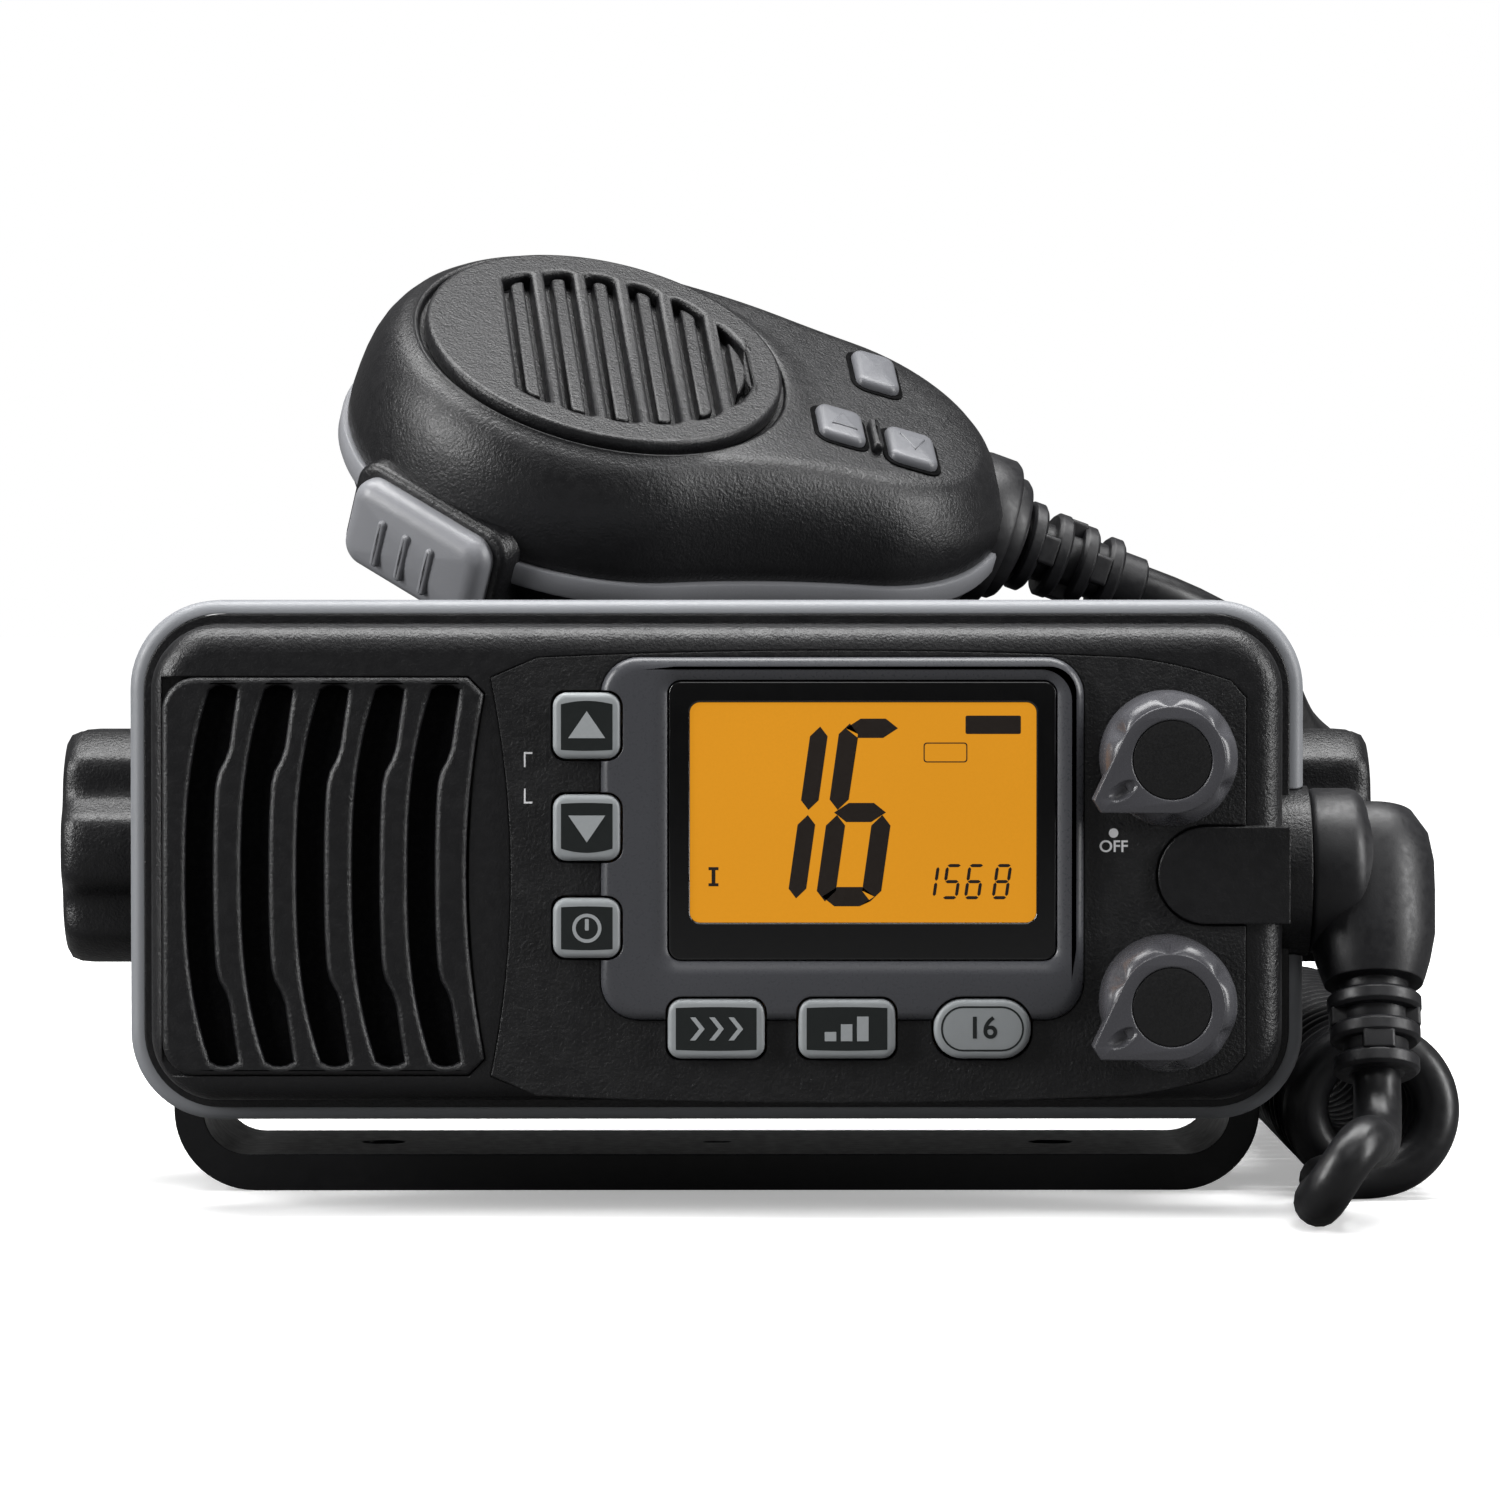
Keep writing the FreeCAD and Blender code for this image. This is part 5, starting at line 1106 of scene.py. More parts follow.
@dataclass
class RotaryKnob:
    """A knob with a scalloped skirt, a pointer plate with a scoop, and a dark cap.

    Each station of the skirt has its inset, its height and how deep the scallops cut there.
    """

    name: str
    x: float
    y: float
    turn: float
    base: float = FASCIA + 0.3
    height: float = 13.2
    skirt: float = 8.75
    ring: float = 6.9
    cap: float = 5.1
    reach: float = 11.3
    tip_half: float = 0.95
    flank_inset: float = 0.9
    cap_gap: float = 0.05
    pointer_base: float = 7.5
    pointer_sink: float = 0.1
    scallops: int = 6
    scallop_depth: float = 0.6
    scallop_width: float = 0.15
    count: int = 180
    stations: tuple = (
        (0.4, 0, 0), (0, 0.4, 0), (0, 7.0, 0), (0.03, 8.6, 0.5), (0.14, 9.8, 1.2), (0.38, 10.8, 1.6),
        (0.75, 11.6, 1.5), (1.25, 12.25, 0.9), (1.8, 12.65, 0.25), (2.35, 12.8, 0.0))
    # Height and half width of the thumb scoop, which is longer than wide.
    scoop: tuple = ((-0.8, 0.1), (-0.7, 0.45), (-0.45, 0.8), (0, 1.12), (0.8, 1.2))
    scoop_stretch: float = 1.9
    scoop_place: float = 7.5

    def skirt_radius(self, angle: float, inset: float, share: float) -> float:
        """Radius of the skirt, its scallops centred on the pointer.

        Args:
            angle: angle in radians.
            inset: how far the station lies inside the skirt.
            share: how much of the scallops' depth shows.
        Returns:
            The radius.
        """
        spacing = TURN / self.scallops
        offset = (angle - math.radians(self.turn)) % spacing
        nearest = min(offset, spacing - offset)
        depth = self.scallop_depth * share
        return self.skirt - inset - depth * math.exp(-(nearest / self.scallop_width) ** 2)

    def build(self, shop: Workshop) -> None:
        """Makes the knob's three pieces."""
        seat = Seat.FRONT.at((self.x, 0, PIVOT + self.y))
        body = self.name + "_knob"
        rings = []
        for inset, level, share in self.stations:
            rings.append(turned_ring(
                lambda angle, inset=inset, share=share: self.skirt_radius(angle, inset, share),
                self.base + level, self.count))
        shop.put(loft(body + "_skirt", rings, seat, sharp=50), body, "knob_abs", body)
        shop.put(self.pointer(body, seat), body, "knob_abs")
        top = self.base + self.height
        rim = self.cap - 0.02
        profile = ((rim, top - 1.3), (rim, top - 0.35), (rim - 0.1, top - 0.22),
                   (rim - 0.38, top - 0.16), (2.0, top - 0.12))
        disc = revolve(self.name + "_cap_disc", profile, seat, 96)
        shop.put(disc, body, "knob_cap_abs", body + "_cap")

    def pointer(self, body: str, seat: Matrix) -> Piece:
        """The plate on top: a circle drawn out to a blunt tip, with a thumb scoop."""
        turn = math.radians(self.turn)
        half = math.acos((self.ring - self.flank_inset) / self.reach)
        start = math.degrees(turn + half)
        outline = arc((0, 0), self.ring, start, start + 360 - 2 * math.degrees(half), 72)
        side = Vector((-math.sin(turn), math.cos(turn))) * self.tip_half
        tip = Vector((math.cos(turn), math.sin(turn))) * self.reach
        outline += [tuple(tip - side), tuple(tip + side)]
        inner = circle((0, 0), self.cap + self.cap_gap, 72)
        top = self.base + self.height - self.pointer_sink
        piece = plate(body + "_pointer", [outline, inner], self.base + self.pointer_base, top, seat,
                      edge=0.18)
        spot = seat @ Matrix.Translation((0, 0, top)) @ Matrix.Rotation(turn, 4, "Z") \
            @ Matrix.Translation((self.scoop_place, 0, 0))
        rings = [[(x * self.scoop_stretch, y, level)
                  for x, y, _ in turned_ring(lambda _, radius=radius: radius, level, 24)]
                 for level, radius in self.scoop]
        return carve(piece, [loft("scoop", rings, spot)])


# Rear and bracket

CHASSIS_FINISHES = {
    "rear_chassis": "painted_casting", "main_circuit_board": "solder_mask",
    "power_amplifier": "black_silicone", "antenna_socket": "nickel_plating",
    "power_lead_gland": "black_silicone", "chassis_screws": "zinc_plated_steel",
    "pivot_inserts": "turned_brass", "grip_washers": "black_silicone",
    "volume_shaft": "turned_brass", "squelch_shaft": "turned_brass",
    "volume_control": "nickel_plating", "squelch_control": "nickel_plating",
    "bracket": "bracket_moulding",
}
MICROPHONE_FINISHES = {
    "mic_baffle": "acoustic_felt", "mic_capsule": "nickel_plating",
    "mic_circuit_board": "solder_mask", "hang_up_stud": "moulded_black_abs",
}


@dataclass
class ClampKnob:
    """A lobed hand knob of the bracket.

    Each station has its radius, its height over the knob's inner face and how far the lobes show.
    """

    name: str
    seat_kind: Seat
    lobes: int = 6
    lobe: float = 1.35
    face: float = 73.75
    count: int = 144
    stations: tuple = (
        (4.0, -16.0, 0), (4.0, 0.05, 0), (11.5, 0.05, 0), (13.4, 0.5, 0.2), (14.6, 1.3, 0.8),
        (15.2, 2.6, 1.0), (15.4, 5.0, 1.0), (15.4, 12.0, 1.0), (15.25, 13.8, 1.0), (14.7, 15.1, 1.0),
        (13.7, 15.8, 0.8), (12.4, 16.0, 0.5), (11.2, 15.7, 0.2), (10.0, 14.9, 0.0), (3.0, 14.7, 0.0))

    def wave(self, angle: float) -> float:
        """One on the broad lobes, down to minus one in the narrow valleys."""
        valley = max(0.0, (0.2 - math.cos(self.lobes * angle)) / 1.2)
        return 1 - 2 * valley ** 1.3

    def build(self, shop: Workshop) -> None:
        """Makes the knob."""
        rings = []
        for radius, level, share in self.stations:
            rings.append(turned_ring(
                lambda angle, radius=radius, share=share: radius + self.lobe * share * self.wave(angle),
                self.face + level, self.count))
        grip = loft(self.name + "_grip", rings, self.seat_kind.at((0, 0, PIVOT)), sharp=55)
        shop.put(grip, self.name, "moulded_black_abs", self.name)


@dataclass(frozen=True)
class SlottedRelief:
    """Rings of a slotted relief and the bridges that join them, turned by half from gap to gap."""

    name: str
    body: str
    seat: Matrix
    first: float
    pitch: float
    count: int
    first_radius: float
    last_radius: float
    half_ring: float = 1.15
    chamfer: Flat = (0.5, 0.45)
    depth: float = 2.2

    def build(self, shop: Workshop) -> None:
        """Makes the rings and bridges."""
        narrower, shorter = self.chamfer
        half = self.half_ring
        for index in range(self.count):
            share = index / (self.count - 1)
            radius = self.first_radius + (self.last_radius - self.first_radius) * share
            level = self.first + self.pitch * index
            profile = [(radius - self.depth, -half), (radius - narrower, -half), (radius, shorter - half),
                       (radius, half - shorter), (radius - narrower, half), (radius - self.depth, half)]
            ring = revolve("%s_ring_%d" % (self.name, index + 1),
                           [(r, level + z) for r, z in profile], self.seat, 56)
            shop.put(ring, self.body, "boot_rubber")
            if index < self.count - 1:
                self.bridges(shop, index, radius, level + self.pitch / 2)

    def bridges(self, shop: Workshop, index: int, radius: float, level: float) -> None:
        """Two bridges across one gap.

        Args:
            shop: the workshop.
            index: number of the gap.
            radius: the nearest ring's radius.
            level: middle of the gap.
        """
        block = Cushion(2.6, 4.2, corner=0.5, base=-1.2, top=1.2, edge=0.2)
        for side in (0, 1):
            angle = math.pi / 2 * (index % 2) + math.pi * side
            spot = self.seat @ Matrix.Translation((0, 0, level)) @ Matrix.Rotation(angle, 4, "Z") \
                @ Matrix.Translation((radius - 1.6, 0, 0))
            bridge = block.build("%s_bridge_%d%d" % (self.name, index + 1, side + 1), spot)
            shop.put(bridge, self.body, "boot_rubber")


# Microphone

ALONG = Vector((0.971, 0.195, -0.136)).normalized()
FACE = Vector((0.217, -0.495, 0.841))
MIC_CENTRE = Vector((-15.6, -5, 113.9))


def mic_seat() -> Matrix:
    """Frame of the microphone: x to the cable end, z out of its face."""
    face = (FACE - ALONG * FACE.dot(ALONG)).normalized()
    return frame_matrix(MIC_CENTRE, ALONG, face.cross(ALONG), face)


@dataclass
class PearOutline:
    """Head circle and tail circle joined by hollow sides, as radius by angle."""

    head: float
    tail: float
    reach: float = 36.0
    neck: float = 150.0

    def points(self) -> Outline:
        """Dense points of the upper half, from the tail's end to the head's."""
        far_head = self.head + self.neck
        far_tail = self.tail + self.neck
        x = (far_head ** 2 - far_tail ** 2 + self.reach ** 2) / (2 * self.reach)
        y = math.sqrt(far_head ** 2 - x ** 2)
        neck = Vector((x, y))
        head_touch = neck * (self.head / far_head)
        tail_centre = Vector((self.reach, 0))
        tail_touch = tail_centre + (neck - tail_centre) * (self.tail / far_tail)

        def bearing(point: Vector, centre: Vector) -> float:
            """Direction from a centre to a point, in degrees."""
            return math.degrees(math.atan2(point.y - centre.y, point.x - centre.x))

        half = arc(tail_centre, self.tail, 0, bearing(tail_touch, tail_centre), 60)
        half += arc(neck, self.neck, bearing(tail_touch, neck) % 360,
                    bearing(head_touch, neck) % 360, 40)
        half += arc((0, 0), self.head, bearing(head_touch, Vector((0, 0))), 180, 80)
        return half

    def radii(self, count: int) -> list[float]:
        """Distance from the head's centre at equal steps of angle, full turn."""
        half = [(math.atan2(y, x), math.hypot(x, y)) for x, y in self.points()]
        angles = [TURN * index / count for index in range(count)]
        return [self.at(half, min(angle, TURN - angle)) for angle in angles]

    @staticmethod
    def at(half: list[Flat], angle: float) -> float:
        """Radius at an angle, between two of the outline's points."""
        for (a0, r0), (a1, r1) in zip(half, half[1:]):
            if a0 <= angle <= a1 and a1 > a0:
                return r0 + (r1 - r0) * (angle - a0) / (a1 - a0)
        return half[-1][1]


@dataclass(frozen=True)
class MicKey:
    """A key on the microphone's sloping face; arrow is its outline, if it has one."""

    name: str
    x: float
    y: float
    length: float
    width: float
    arrow: tuple[Flat, ...] = ()


@dataclass
class Microphone:
    """Shells, grille disc, keys, talk button and strain relief of the fist microphone.

    The face falls towards the tail by fall, which starts between level_end and slope_start.
    """

    head: float = 32.7
    tail: float = 24.5
    seam: float = -16.5
    band: float = 3.2
    disc: float = 25.0
    groove_width: float = 1.5
    bars_inset: float = 1.15
    slot_margin: float = 3.8
    slot_end: float = 1.2
    fall: float = 0.15
    level_end: float = 16.0
    slope_start: float = 28.0
    face_inset: float = 6.0
    slots: int = 6
    first_slot: float = -11.2
    slot_pitch: float = 6.05
    slot_half: float = 2.1
    last_slot_end: float = 21.4
    talk_turn: float = 133.0
    talk_reach: float = 27.7
    relief_length: float = 25.0
    count: int = 240
    seat: Matrix = field(default_factory=mic_seat)
    # Inset from the seam's outline, height, and share of the face's fall.
    wall: tuple = (
        (1.6, -16.4, 0), (0.25, -16.38, 0), (0.0, -16.0, 0), (0.0, -13.5, 0.0), (0.25, -11.0, 0.15),
        (0.6, -8.6, 0.45), (1.1, -6.4, 0.75), (1.8, -4.5, 0.9), (2.7, -2.9, 1.0), (3.7, -1.6, 1.0),
        (4.8, -0.7, 1.0), (6.0, -0.2, 1.0))
    # Shares of the way from the face's edge to the lip of the groove round the disc.
    bridge: tuple = (0.2, 0.4, 0.6, 0.8, 0.92)
    # Inset from that lip, height, and share of the fall, down into the groove.
    groove: tuple = ((0, 0.15, 0.5), (0.35, 0.1, 0.5), (0.7, -0.25, 0.2), (0.85, -0.9, 0.2),
                     (1.9, -1.0, 0.2))
    buttons: tuple[MicKey, ...] = (
        MicKey("mic_power_key", 40.4, 10.2, 6.4, 9.4),
        MicKey("mic_up_key", 33.0, -8.2, 6.8, 8.4, ((-1.9, -1.7), (1.9, -1.7), (0, 1.9))),
        MicKey("mic_down_key", 43.3, -9.1, 7.2, 8.6, ((-1.9, 1.7), (0, -1.9), (1.9, 1.7))),
    )

    def slope(self, x: float) -> float:
        """How far the face falls towards the tail at a place along the microphone."""
        if x < self.level_end:
            return 0.0
        if x < self.slope_start:
            return self.fall * (x - self.level_end) ** 2 / (2 * (self.slope_start - self.level_end))
        return self.fall * (x - (self.level_end + self.slope_start) / 2)

    def ring(self, radii: list[float], height: float, follow: float = 0.0) -> Ring:
        """A ring at a height that follows the face's slope by a share.

        Args:
            radii: the ring's radii at equal steps of angle.
            height: its height where the face is level.
            follow: share of the slope that it follows.
        Returns:
            The ring's points.
        """
        points = []
        for index, radius in enumerate(radii):
            angle = TURN * index / self.count
            x = radius * math.cos(angle)
            points.append((x, radius * math.sin(angle), height - follow * self.slope(x)))
        return points

    def pear(self, inset: float) -> list[float]:
        """Radii of the seam's outline taken in by an inset."""
        return PearOutline(self.head - inset, self.tail - inset).radii(self.count)

    def front_shell(self) -> Piece:
        """Side wall, rounded edge, sloping face and the groove round the disc."""
        rings = [self.ring(self.pear(inset), height, follow) for inset, height, follow in self.wall]
        edge = self.pear(self.face_inset)
        lip = self.disc + self.groove_width
        for share in self.bridge:
            radii = [r + ((lip if r > lip else lip - 0.15) - r) * share for r in edge]
            rings.append(self.ring(radii, -0.2 + 0.25 * share, 1.0))
        for inset, height, follow in self.groove:
            rings.append(self.ring([lip - inset] * self.count, height, follow))
        return loft("mic_front", rings, self.seat, sharp=50)

    def seam_band(self) -> Piece:
        """The band that stands a little proud of both shells."""
        low = self.seam - self.band
        stations = ((1.2, self.seam + 0.1), (-0.5, self.seam), (-0.75, self.seam - 0.5),
                    (-0.75, low + 0.5), (-0.5, low), (1.2, low - 0.1))
        rings = [self.ring(self.pear(inset), height) for inset, height in stations]
        band = loft("mic_seam_band", rings, self.seat, ends=Ends.OPEN)
        band.data.flip_normals()
        return band

    def rear_shell(self) -> Piece:
        """The shallow rear, rounded towards its flat back."""
        low = self.seam - self.band
        rings = [self.ring(PearOutline(*radii).radii(self.count), height)
                 for radii, height in (((18, 7), -32), ((22, 11), -31.4))]
        for inset, height in ((5.5, -27.8), (3.4, -25.6), (2.3, -24.2), (1.2, -22.0),
                              (0.4, low - 0.1), (1.6, low)):
            rings.append(self.ring(self.pear(inset), height))
        return loft("mic_rear", rings, self.seat, sharp=50)

    def build(self, shop: Workshop) -> tuple[Vector, Vector, Piece]:
        """Makes the microphone.

        Args:
            shop: the workshop.
        Returns:
            Where the cord leaves it, the cord's way there, and the strain relief's sleeve.
        """
        shop.put(self.front_shell(), MICROPHONE, "moulded_black_abs", "mic_front_shell")
        shop.put(self.seam_band(), MICROPHONE, "grey_key_abs", "mic_band")
        shop.put(self.rear_shell(), MICROPHONE, "moulded_black_abs", "mic_rear_shell")
        self.grille(shop)
        self.keys(shop)
        self.talk_button(shop)
        return self.strain_relief(shop)

    def slot_outline(self, index: int, inset: float) -> Outline:
        """Outline of one slot across the disc.

        Args:
            index: the slot's number from the head's end.
            inset: how far the outline is taken in.
        Returns:
            The outline, its ends following the disc's circle with soft corners.
        """
        x = self.first_slot + self.slot_pitch * index
        reach = self.disc - self.slot_margin - inset
        left = x - self.slot_half + inset
        right = x + self.slot_half - inset
        if index == self.slots - 1:
            right = min(right, self.last_slot_end - inset)
        points = []
        for share, lift in ((0, 0.5), (0.15, 0.12), (0.35, 0), (0.65, 0), (0.85, 0.12), (1, 0.5)):
            px = left + (right - left) * share
            points.append((px, math.sqrt(max(0.2, reach ** 2 - px ** 2)) - self.slot_end - lift))
        return points[::-1] + [(px, -py) for px, py in points]

    def grille(self, shop: Workshop) -> None:
        """The disc with its slots, the bars that stand in them and the felt behind."""
        rim = circle((0, 0), self.disc, 120)
        slots = [self.slot_outline(i, 0) for i in range(self.slots)]
        disc = plate("mic_disc", [rim] + slots, rear=-1.2, front=1.4, seat=self.seat, edge=0.6)
        shop.put(disc, MICROPHONE, "moulded_black_abs", "mic_grille")
        insets = [self.slot_outline(i, self.bars_inset) for i in range(self.slots)]
        bars = plate("mic_disc_bars", insets, rear=-1.2, front=0.9, seat=self.seat, edge=0.3)
        shop.put(bars, MICROPHONE, "moulded_black_abs")
        backing = revolve("mic_disc_backing", ((self.disc - 2, -1.6), (self.disc - 2, -1.15)), self.seat)
        shop.put(backing, MICROPHONE, "acoustic_felt")

    def on_face(self, x: float, y: float) -> Matrix:
        """Seat of a piece on the sloping face."""
        place = Matrix.Translation((x, y, -self.slope(x)))
        return self.seat @ place @ Matrix.Rotation(math.atan(self.fall), 4, "Y")

    def keys(self, shop: Workshop) -> None:
        """Power and arrow keys on the sloping face, and the ridge between the arrows."""
        for key in self.buttons:
            spot = self.on_face(key.x, key.y)
            block = Cushion(key.length, key.width, corner=1.7, base=-1.8, top=1.3, edge=1.0,
                            crown=0.25)
            # The caps wear the talk button's grey made darker: painted shade for their upward faces.
            shop.put(block.build(key.name + "_cap", spot), key.name, "key_cap_abs", key.name)
            # A near-black matt plate round each key: painted shade for the gap between the key and the
            # shell.
            rim = rounded_rectangle(key.length + 1.4, key.width + 1.4, 2.2)
            gap_shade = plate(key.name + "_well", [rim], rear=-1.2, front=0.12, seat=spot, edge=0.1)
            shop.put(gap_shade, MICROPHONE, "acoustic_felt", slot="black_moulding")
            if key.arrow:
                # The raised arrows wear the same darkened grey: painted shade.
                arrow = plate(key.name + "_arrow", [key.arrow], rear=1.3, front=1.62, seat=spot,
                              edge=0.14)
                shop.put(arrow, key.name, "key_cap_abs")
        ridge = Cushion(1.5, 7.4, corner=0.7, base=-1.0, top=1.5, edge=0.6)
        shop.put(ridge.build("mic_key_ridge", self.on_face(38.0, -8.6)), MICROPHONE,
                 "moulded_black_abs")

    def talk_button(self, shop: Workshop) -> None:
        """The broad button on the side, with three ribs and a black surround."""
        turn = math.radians(self.talk_turn)
        outward = Vector((math.cos(turn), -math.sin(turn), 0))
        along = Vector((-outward.y, outward.x, 0))
        middle = outward * self.talk_reach + UP * (self.seam - self.band / 2 - 2)
        spot = self.seat @ frame_matrix(middle, along, UP, outward)
        button = Cushion(23, 13, corner=3.2, base=-1.5, top=9.2, edge=2.4, crown=0.5)
        shop.put(button.build("talk_cap", spot), "talk_button", "grey_key_abs", "talk_button")
        for index in range(3):
            rib = Cushion(1.3, 7.2, corner=0.6, base=8.8, top=10.1, edge=0.5,
                          centre=(-4.8 + 4.2 * index, -0.6))
            shop.put(rib.build("talk_rib_%d" % (index + 1), spot), "talk_button", "grey_key_abs")
        surround = Cushion(26.2, 15.6, corner=3.6, base=-2.5, top=5.9, edge=0.9)
        shop.put(surround.build("talk_surround", spot), MICROPHONE, "moulded_black_abs")

    def strain_relief(self, shop: Workshop) -> tuple[Vector, Vector, Piece]:
        """Flange, collar and the ribbed sleeve; returns what build returns."""
        start = self.seat @ Vector((36 + self.tail - 2.5, 0, -19))
        way = Vector((0.925, 0.20, -0.33)).normalized()
        across = way.cross(UP).normalized()
        seat = frame_matrix(start, across, way.cross(across), way)
        sleeve = revolve("relief_sleeve", (
            (10.6, -3.0), (10.8, -1.5), (10.8, 2.0), (10.4, 2.6), (8.9, 2.7), (8.8, 4.4), (8.3, 5.0),
            (6.6, 5.1), (6.4, 5.6), (4.2, 5.8), (4.0, 24.6), (3.5, 25.0)), seat, 72)
        shop.put(sleeve, MICROPHONE, "boot_rubber", "mic_strain_relief")
        ribs = SlottedRelief("relief", MICROPHONE, seat, first=7.4, pitch=4.1, count=4,
                             first_radius=6.4, last_radius=5.4)
        ribs.build(shop)
        return start + way * self.relief_length, way, sleeve


# Cord

@dataclass
class MicrophoneCord:
    """Plug boot, curly cord and its free stretches, one spline from boot to microphone."""

    radius: float = 3.15
    coil: float = 8.65
    pitch: float = 7.4
    turns: float = 18.25
    coil_across: float = 88.0
    coil_front: float = -33.0
    floor_gap: float = 0.1
    steps: int = 16
    length_m: float = 1.23
    lead: float = 11.2
    mic_lead: float = 12.0
    elbow: Vector = field(default_factory=lambda: Vector((86.2, -47, 44.7)))
    outlet: Vector = field(default_factory=lambda: Vector((86.2, -57.5, 18.5)))
    # Listed points: the fold under the boot, and the way up from the curls.
    lower: tuple = (
        (82.8, -82, 13.4), (76.4, -82, 3.3), (78, -65, 3.3), (80.52, -55.87, 3.25),
        (80.52, -47.87, 3.25), (80.52, -43, 3.25), (80.64, -39.33, 3.25), (82.14, -36.24, 3.2),
        (84.72, -33.95, 3.15))
    upper: tuple = (
        (96.65, 102.9, 18.1), (96.65, 104, 26), (96.5, 104.9, 36), (95.8, 101, 46), (94, 93, 53.5),
        (90.5, 80, 57.5), (86.5, 65, 60), (83, 49, 63.5), (79.5, 35, 70.5))

    def helix(self) -> list[Vector]:
        """Points of the curls, worked out turn by turn; the spline runs inside its points."""
        reach = self.coil / (0.75 + 0.25 * math.cos(TURN / self.steps))
        axis_height = self.radius + self.floor_gap + self.coil
        points = []
        for index in range(int(self.turns * self.steps) + 1):
            turn = index / self.steps
            points.append(Vector((
                self.coil_across + reach * math.sin(TURN * turn),
                self.coil_front + self.pitch * turn,
                axis_height - reach * math.cos(TURN * turn))))
        return points

    def route(self, mic_exit: Vector, mic_way: Vector) -> list[Vector]:
        """Points of the free stretches with the curls between them.

        Args:
            mic_exit: where the cord enters the microphone's relief.
            mic_way: the relief's direction.
        Returns:
            The spline's points from the boot to the microphone.
        """
        way = (self.outlet - self.elbow).normalized()
        points = [self.outlet, self.outlet + way * self.lead]
        points += [Vector(point) for point in self.lower]
        points += self.helix()
        points += [Vector(point) for point in self.upper]
        return points + [mic_exit + mic_way * self.mic_lead, mic_exit]

    @staticmethod
    def centreline(points: list[Vector]) -> list[Vector]:
        """Smooth line of the route's spline, in metres."""
        curve = bpy.data.curves.new("cord_route", "CURVE")
        curve.dimensions = "3D"
        curve.resolution_u = 5
        spline = curve.splines.new("NURBS")
        spline.points.add(len(points) - 1)
        for control, point in zip(spline.points, points):
            control.co = (*(point * MM), 1)
        spline.order_u = 3
        spline.use_endpoint_u = True
        holder = link(bpy.data.objects.new("cord_route", curve))
        line = [vertex.co.copy() for vertex in evaluated_mesh(holder).vertices]
        bpy.data.objects.remove(holder)
        return line

    def tube(self, line: list[Vector], sides: int = 18) -> Piece:
        """A round jacket along the line, its frame carried without twist."""
        rings = []
        normal = Vector((1, 0, 0))
        for index, point in enumerate(line):
            before = line[max(0, index - 1)]
            after = line[min(len(line) - 1, index + 1)]
            way = (after - before).normalized()
            normal = (normal - way * normal.dot(way)).normalized()
            seat = frame_matrix(point / MM, normal, way.cross(normal), way)
            ring = turned_ring(lambda _: self.radius, 0, sides)
            rings.append([seat @ Vector(corner) for corner in ring])
        return loft("microphone_cord", rings, sharp=80)

    def boot(self, shop: Workshop) -> list[Piece]:
        """The right-angle plug boot: collar, and a tapered slotted stem; returns both."""
        collar = revolve("boot_collar", (
            (10.2, 0.0), (10.7, 0.3), (10.9, 0.9), (10.9, 5.4), (10.6, 6.4), (9.8, 7.2), (8.4, 8.2),
            (6.4, 10.4), (3.5, 12.2), (0.5, 12.9)), Seat.RIGHT_SIDE.at((77.8, *self.elbow[1:])), 80,
            sharp=60)
        shop.put(collar, RADIO, "boot_rubber", "mic_plug_boot")
        way = (self.outlet - self.elbow).normalized()
        length = (self.outlet - self.elbow).length
        side = Vector((1, 0, 0))
        seat = frame_matrix(self.elbow, side, way.cross(side), way)
        stem = revolve("boot_stem", (
            (3.0, -8.6), (6.0, -7.6), (7.9, -4.6), (8.5, -1.0), (8.5, 3.0), (8.3, 0.32 * length),
            (7.6, 0.44 * length), (6.9, 0.52 * length), (6.5, 0.56 * length), (4.5, 0.565 * length),
            (4.2, length - 0.4), (3.6, length)), seat, 64, sharp=60)
        shop.put(stem, RADIO, "boot_rubber")
        ribs = SlottedRelief("boot", RADIO, seat, first=length - 9.6, pitch=4.2, count=3,
                             first_radius=6.2, last_radius=5.7)
        ribs.build(shop)
        return [collar, stem]

    def build(self, shop: Workshop, mic_exit: Vector, mic_way: Vector, relief: Piece) -> None:
        """Makes the boot and the cord.

        Args:
            shop: the workshop.
            mic_exit: where the cord enters the microphone's relief.
            mic_way: the relief's direction.
            relief: not used.
        """
        boot = self.boot(shop)
        line = self.centreline(self.route(mic_exit, mic_way))
        cord = self.tube(line)
        cord.data.materials.append(shop.materials["pvc_jacket"])
        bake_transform(cord)
        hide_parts("cord_lower", "cord_curl", "cord_upper")
        measured = sum((b - a).length for a, b in zip(line, line[1:]))
        LOG.info("cord centreline %.3f m", measured)


# Studio

def aimed(name: str, data: bpy.types.ID, place: tuple, target: tuple) -> Piece:
    """An object for a lamp or camera that looks from one point at another.

    Args:
        name: the object's name.
        data: the lamp or camera.
        place: where it stands, in metres.
        target: what it looks at, in metres.
    Returns:
        The object.
    """
    holder = link(bpy.data.objects.new(name, data))
    holder.location = place
    aim = Vector(target) - Vector(place)
    holder.rotation_euler = aim.to_track_quat("-Z", "Y").to_euler()
    return holder


@dataclass(frozen=True)
class Softbox:
    """An area light aimed at a point, sizes and places in metres."""

    name: str
    place: tuple
    target: tuple
    size: Flat
    power: float

    def build(self) -> None:
        """Makes the light."""
        lamp = bpy.data.lights.new(self.name, "AREA")
        lamp.shape = "RECTANGLE"
        lamp.size, lamp.size_y = self.size
        lamp.energy = self.power
        aimed(self.name, lamp, self.place, self.target)


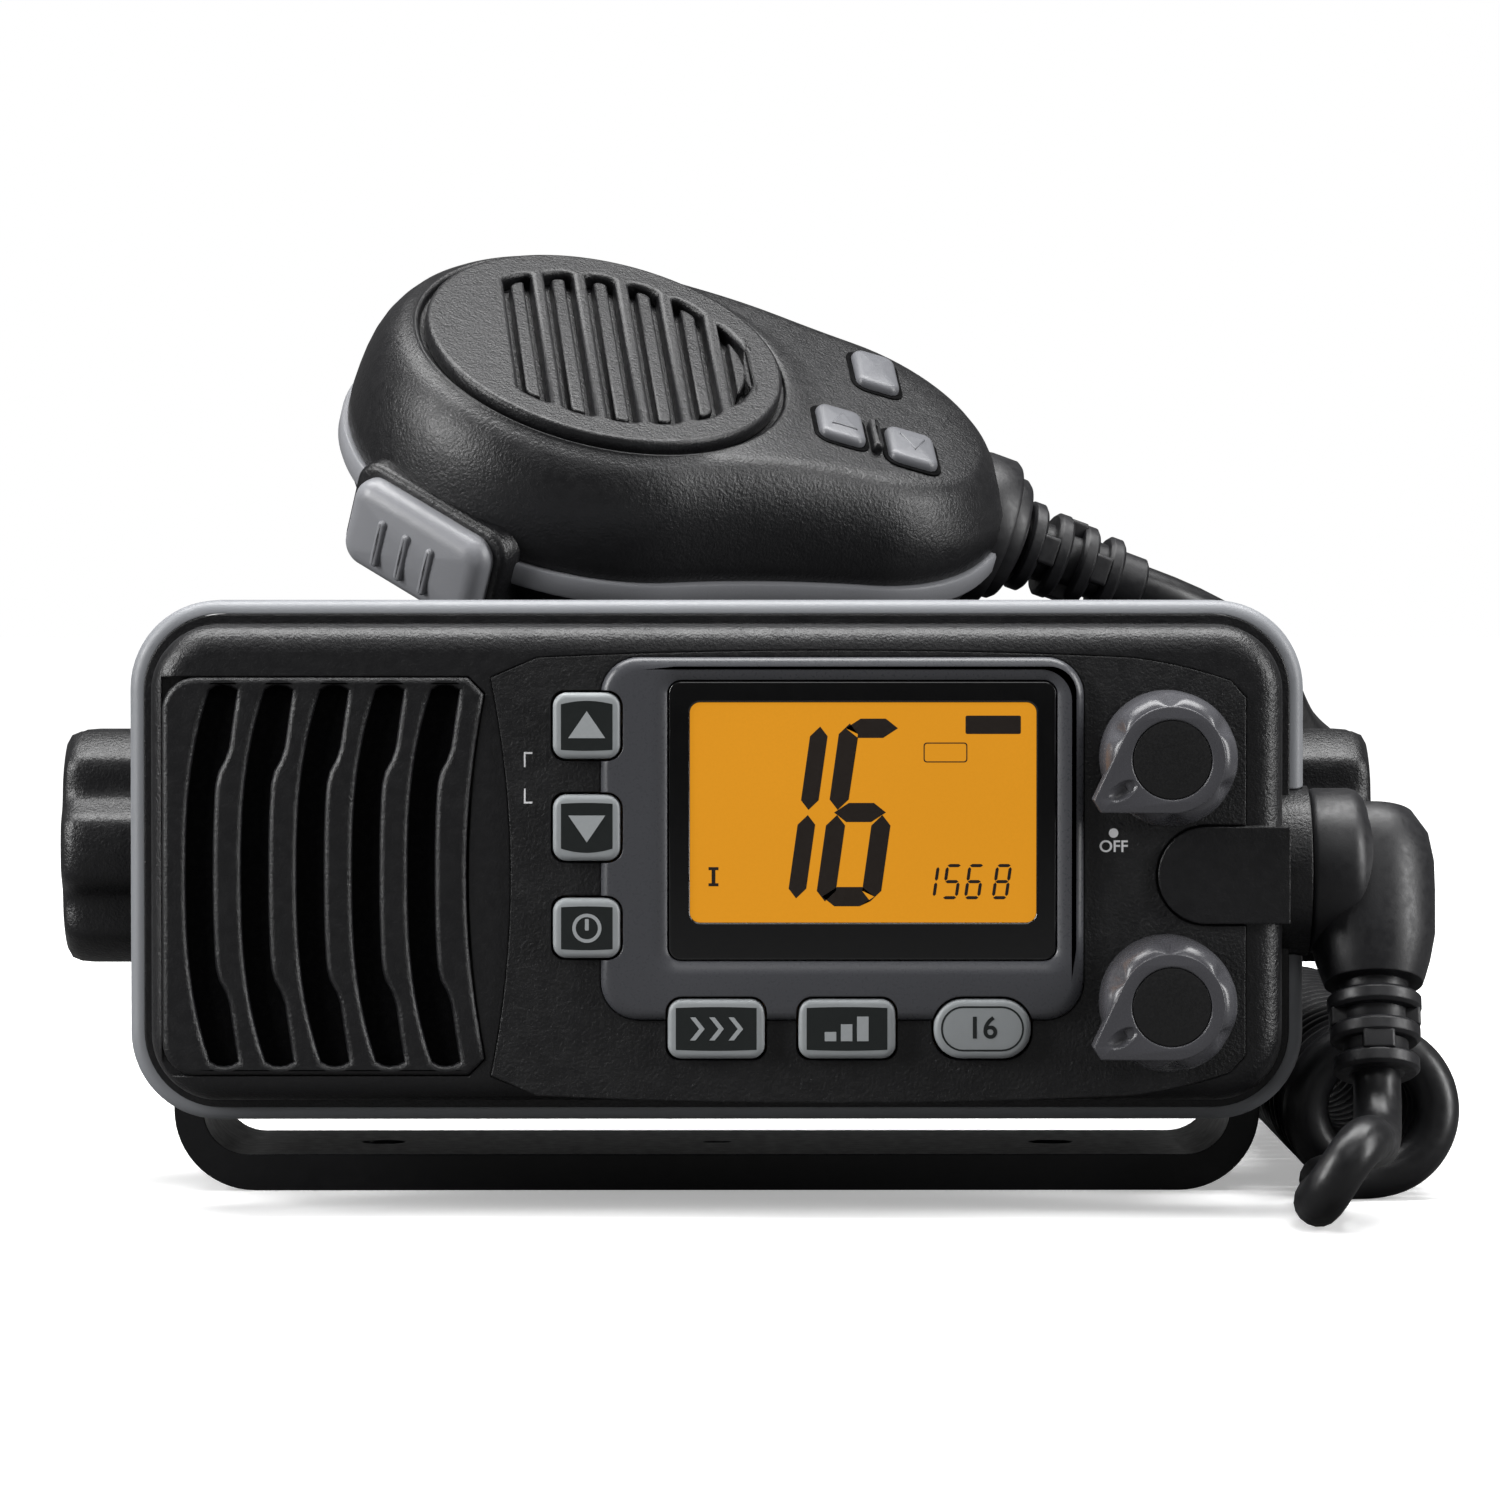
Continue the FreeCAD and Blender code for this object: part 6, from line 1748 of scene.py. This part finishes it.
@dataclass
class Studio:
    """Camera, softboxes and a white sweep, in metres."""

    eye: tuple = (0.0, -0.980, 0.087)
    aim: tuple = (0.0043, -0.060, 0.061)
    lens: float = 169.8
    sensor: float = 36
    fill_strength: float = 0.14
    floor_half: float = 6.0
    floor_drop: float = 0.00005
    lights: tuple = (
        Softbox("top_softbox", (0.0, 0.05, 0.9), (0, 0, 0.05), (1.2, 0.5), 17),
        Softbox("left_softbox", (-0.95, -0.42, 0.45), (0, -0.05, 0.06), (0.3, 0.7), 11),
        Softbox("right_strip", (0.9, -0.3, 0.35), (0, 0, 0.06), (0.25, 0.7), 7),
        Softbox("front_fill", (0.25, -1.2, 1.2), (0, 0, 0.05), (0.9, 0.4), 2.2),
    )

    def camera(self) -> None:
        """The camera of the photograph."""
        data = bpy.data.cameras.new("camera")
        data.lens = self.lens
        data.sensor_width = self.sensor
        data.dof.use_dof = False
        bpy.context.scene.camera = aimed("camera", data, self.eye, self.aim)

    def world(self) -> None:
        """Even light all round, and plain white where the camera looks past everything."""
        world = bpy.data.worlds.new("studio")
        world.use_nodes = True
        tree = world.node_tree
        tree.nodes.clear()
        fill = add_node(tree, "ShaderNodeBackground",
                        {"Color": linear("#f4f4f4"), "Strength": self.fill_strength})
        white = add_node(tree, "ShaderNodeBackground", {"Color": linear("#ffffff"), "Strength": 1.0})
        path = add_node(tree, "ShaderNodeLightPath")
        mix = add_node(tree, "ShaderNodeMixShader", None, {
            0: path.outputs["Is Camera Ray"], 1: fill.outputs[0], 2: white.outputs[0]})
        add_node(tree, "ShaderNodeOutputWorld", None, {"Surface": mix.outputs[0]})
        bpy.context.scene.world = world

    def floor(self) -> None:
        """A white sweep that keeps a faint contact shadow.

        Only the camera sees its white and its glow, which grows with the distance from the object;
        what it throws back onto the object is a darker grey.
        """
        half = self.floor_half / MM
        corners = [(-half, -half, 0), (half, -half, 0), (half, half, 0), (-half, half, 0)]
        floor = mesh_object("floor", corners, [(0, 1, 2, 3)],
                            Matrix.Translation((0, 0, -self.floor_drop / MM)))
        material, tree, shader, place = new_material("sweep_paper")
        paper = tinted(shader, noise(place, 1.5), "#f4f4f4", 0.01)
        distance = add_node(tree, "ShaderNodeVectorMath", None, {0: place}, operation="LENGTH")
        fade = add_node(tree, "ShaderNodeMapRange",
                        {"From Min": 0.12, "From Max": 0.7, "To Min": 0.35, "To Max": 1.0},
                        {"Value": distance.outputs["Value"]})
        seen = add_node(tree, "ShaderNodeLightPath").outputs["Is Camera Ray"]
        glow = add_node(tree, "ShaderNodeMath", None, {0: seen, 1: fade.outputs[0]},
                        operation="MULTIPLY")
        feed(shader, {"Base Color": mixed(linear("#5c5c5c"), paper, seen, tree),
                      "Emission Strength": glow.outputs[0]})
        set_inputs(shader, {"Roughness": 0.9, "Specular IOR Level": 0.0,
                            "Emission Color": linear("#ffffff")})
        floor.data.materials.append(material)

    def build(self) -> None:
        """Sets the whole studio."""
        self.camera()
        self.world()
        self.floor()
        for light in self.lights:
            light.build()
        bpy.context.scene.view_settings.view_transform = "Standard"


def main() -> None:
    """Builds every sub-assembly in order."""
    shop = Workshop(FINISHES)
    Studio().build()
    relief_end, relief_way, relief = Microphone().build(shop)
    MicrophoneCord().build(shop, relief_end, relief_way, relief)
    FrontPanel().build(shop)
    keypad = Keypad()
    Display(keypad.keys).build(shop)
    keypad.build(shop)
    for name, y in (("volume", 13.9), ("squelch", -17.85)):
        RotaryKnob(name, 58.4, y, 212).build(shop)
    shop.dress(CHASSIS_FINISHES | MICROPHONE_FINISHES)
    ClampKnob("bracket_knob_left", Seat.LEFT_SIDE).build(shop)
    ClampKnob("bracket_knob_right", Seat.RIGHT_SIDE).build(shop)
    LOG.info("%d pieces made", shop.count)


if __name__ == "__main__":
    main()
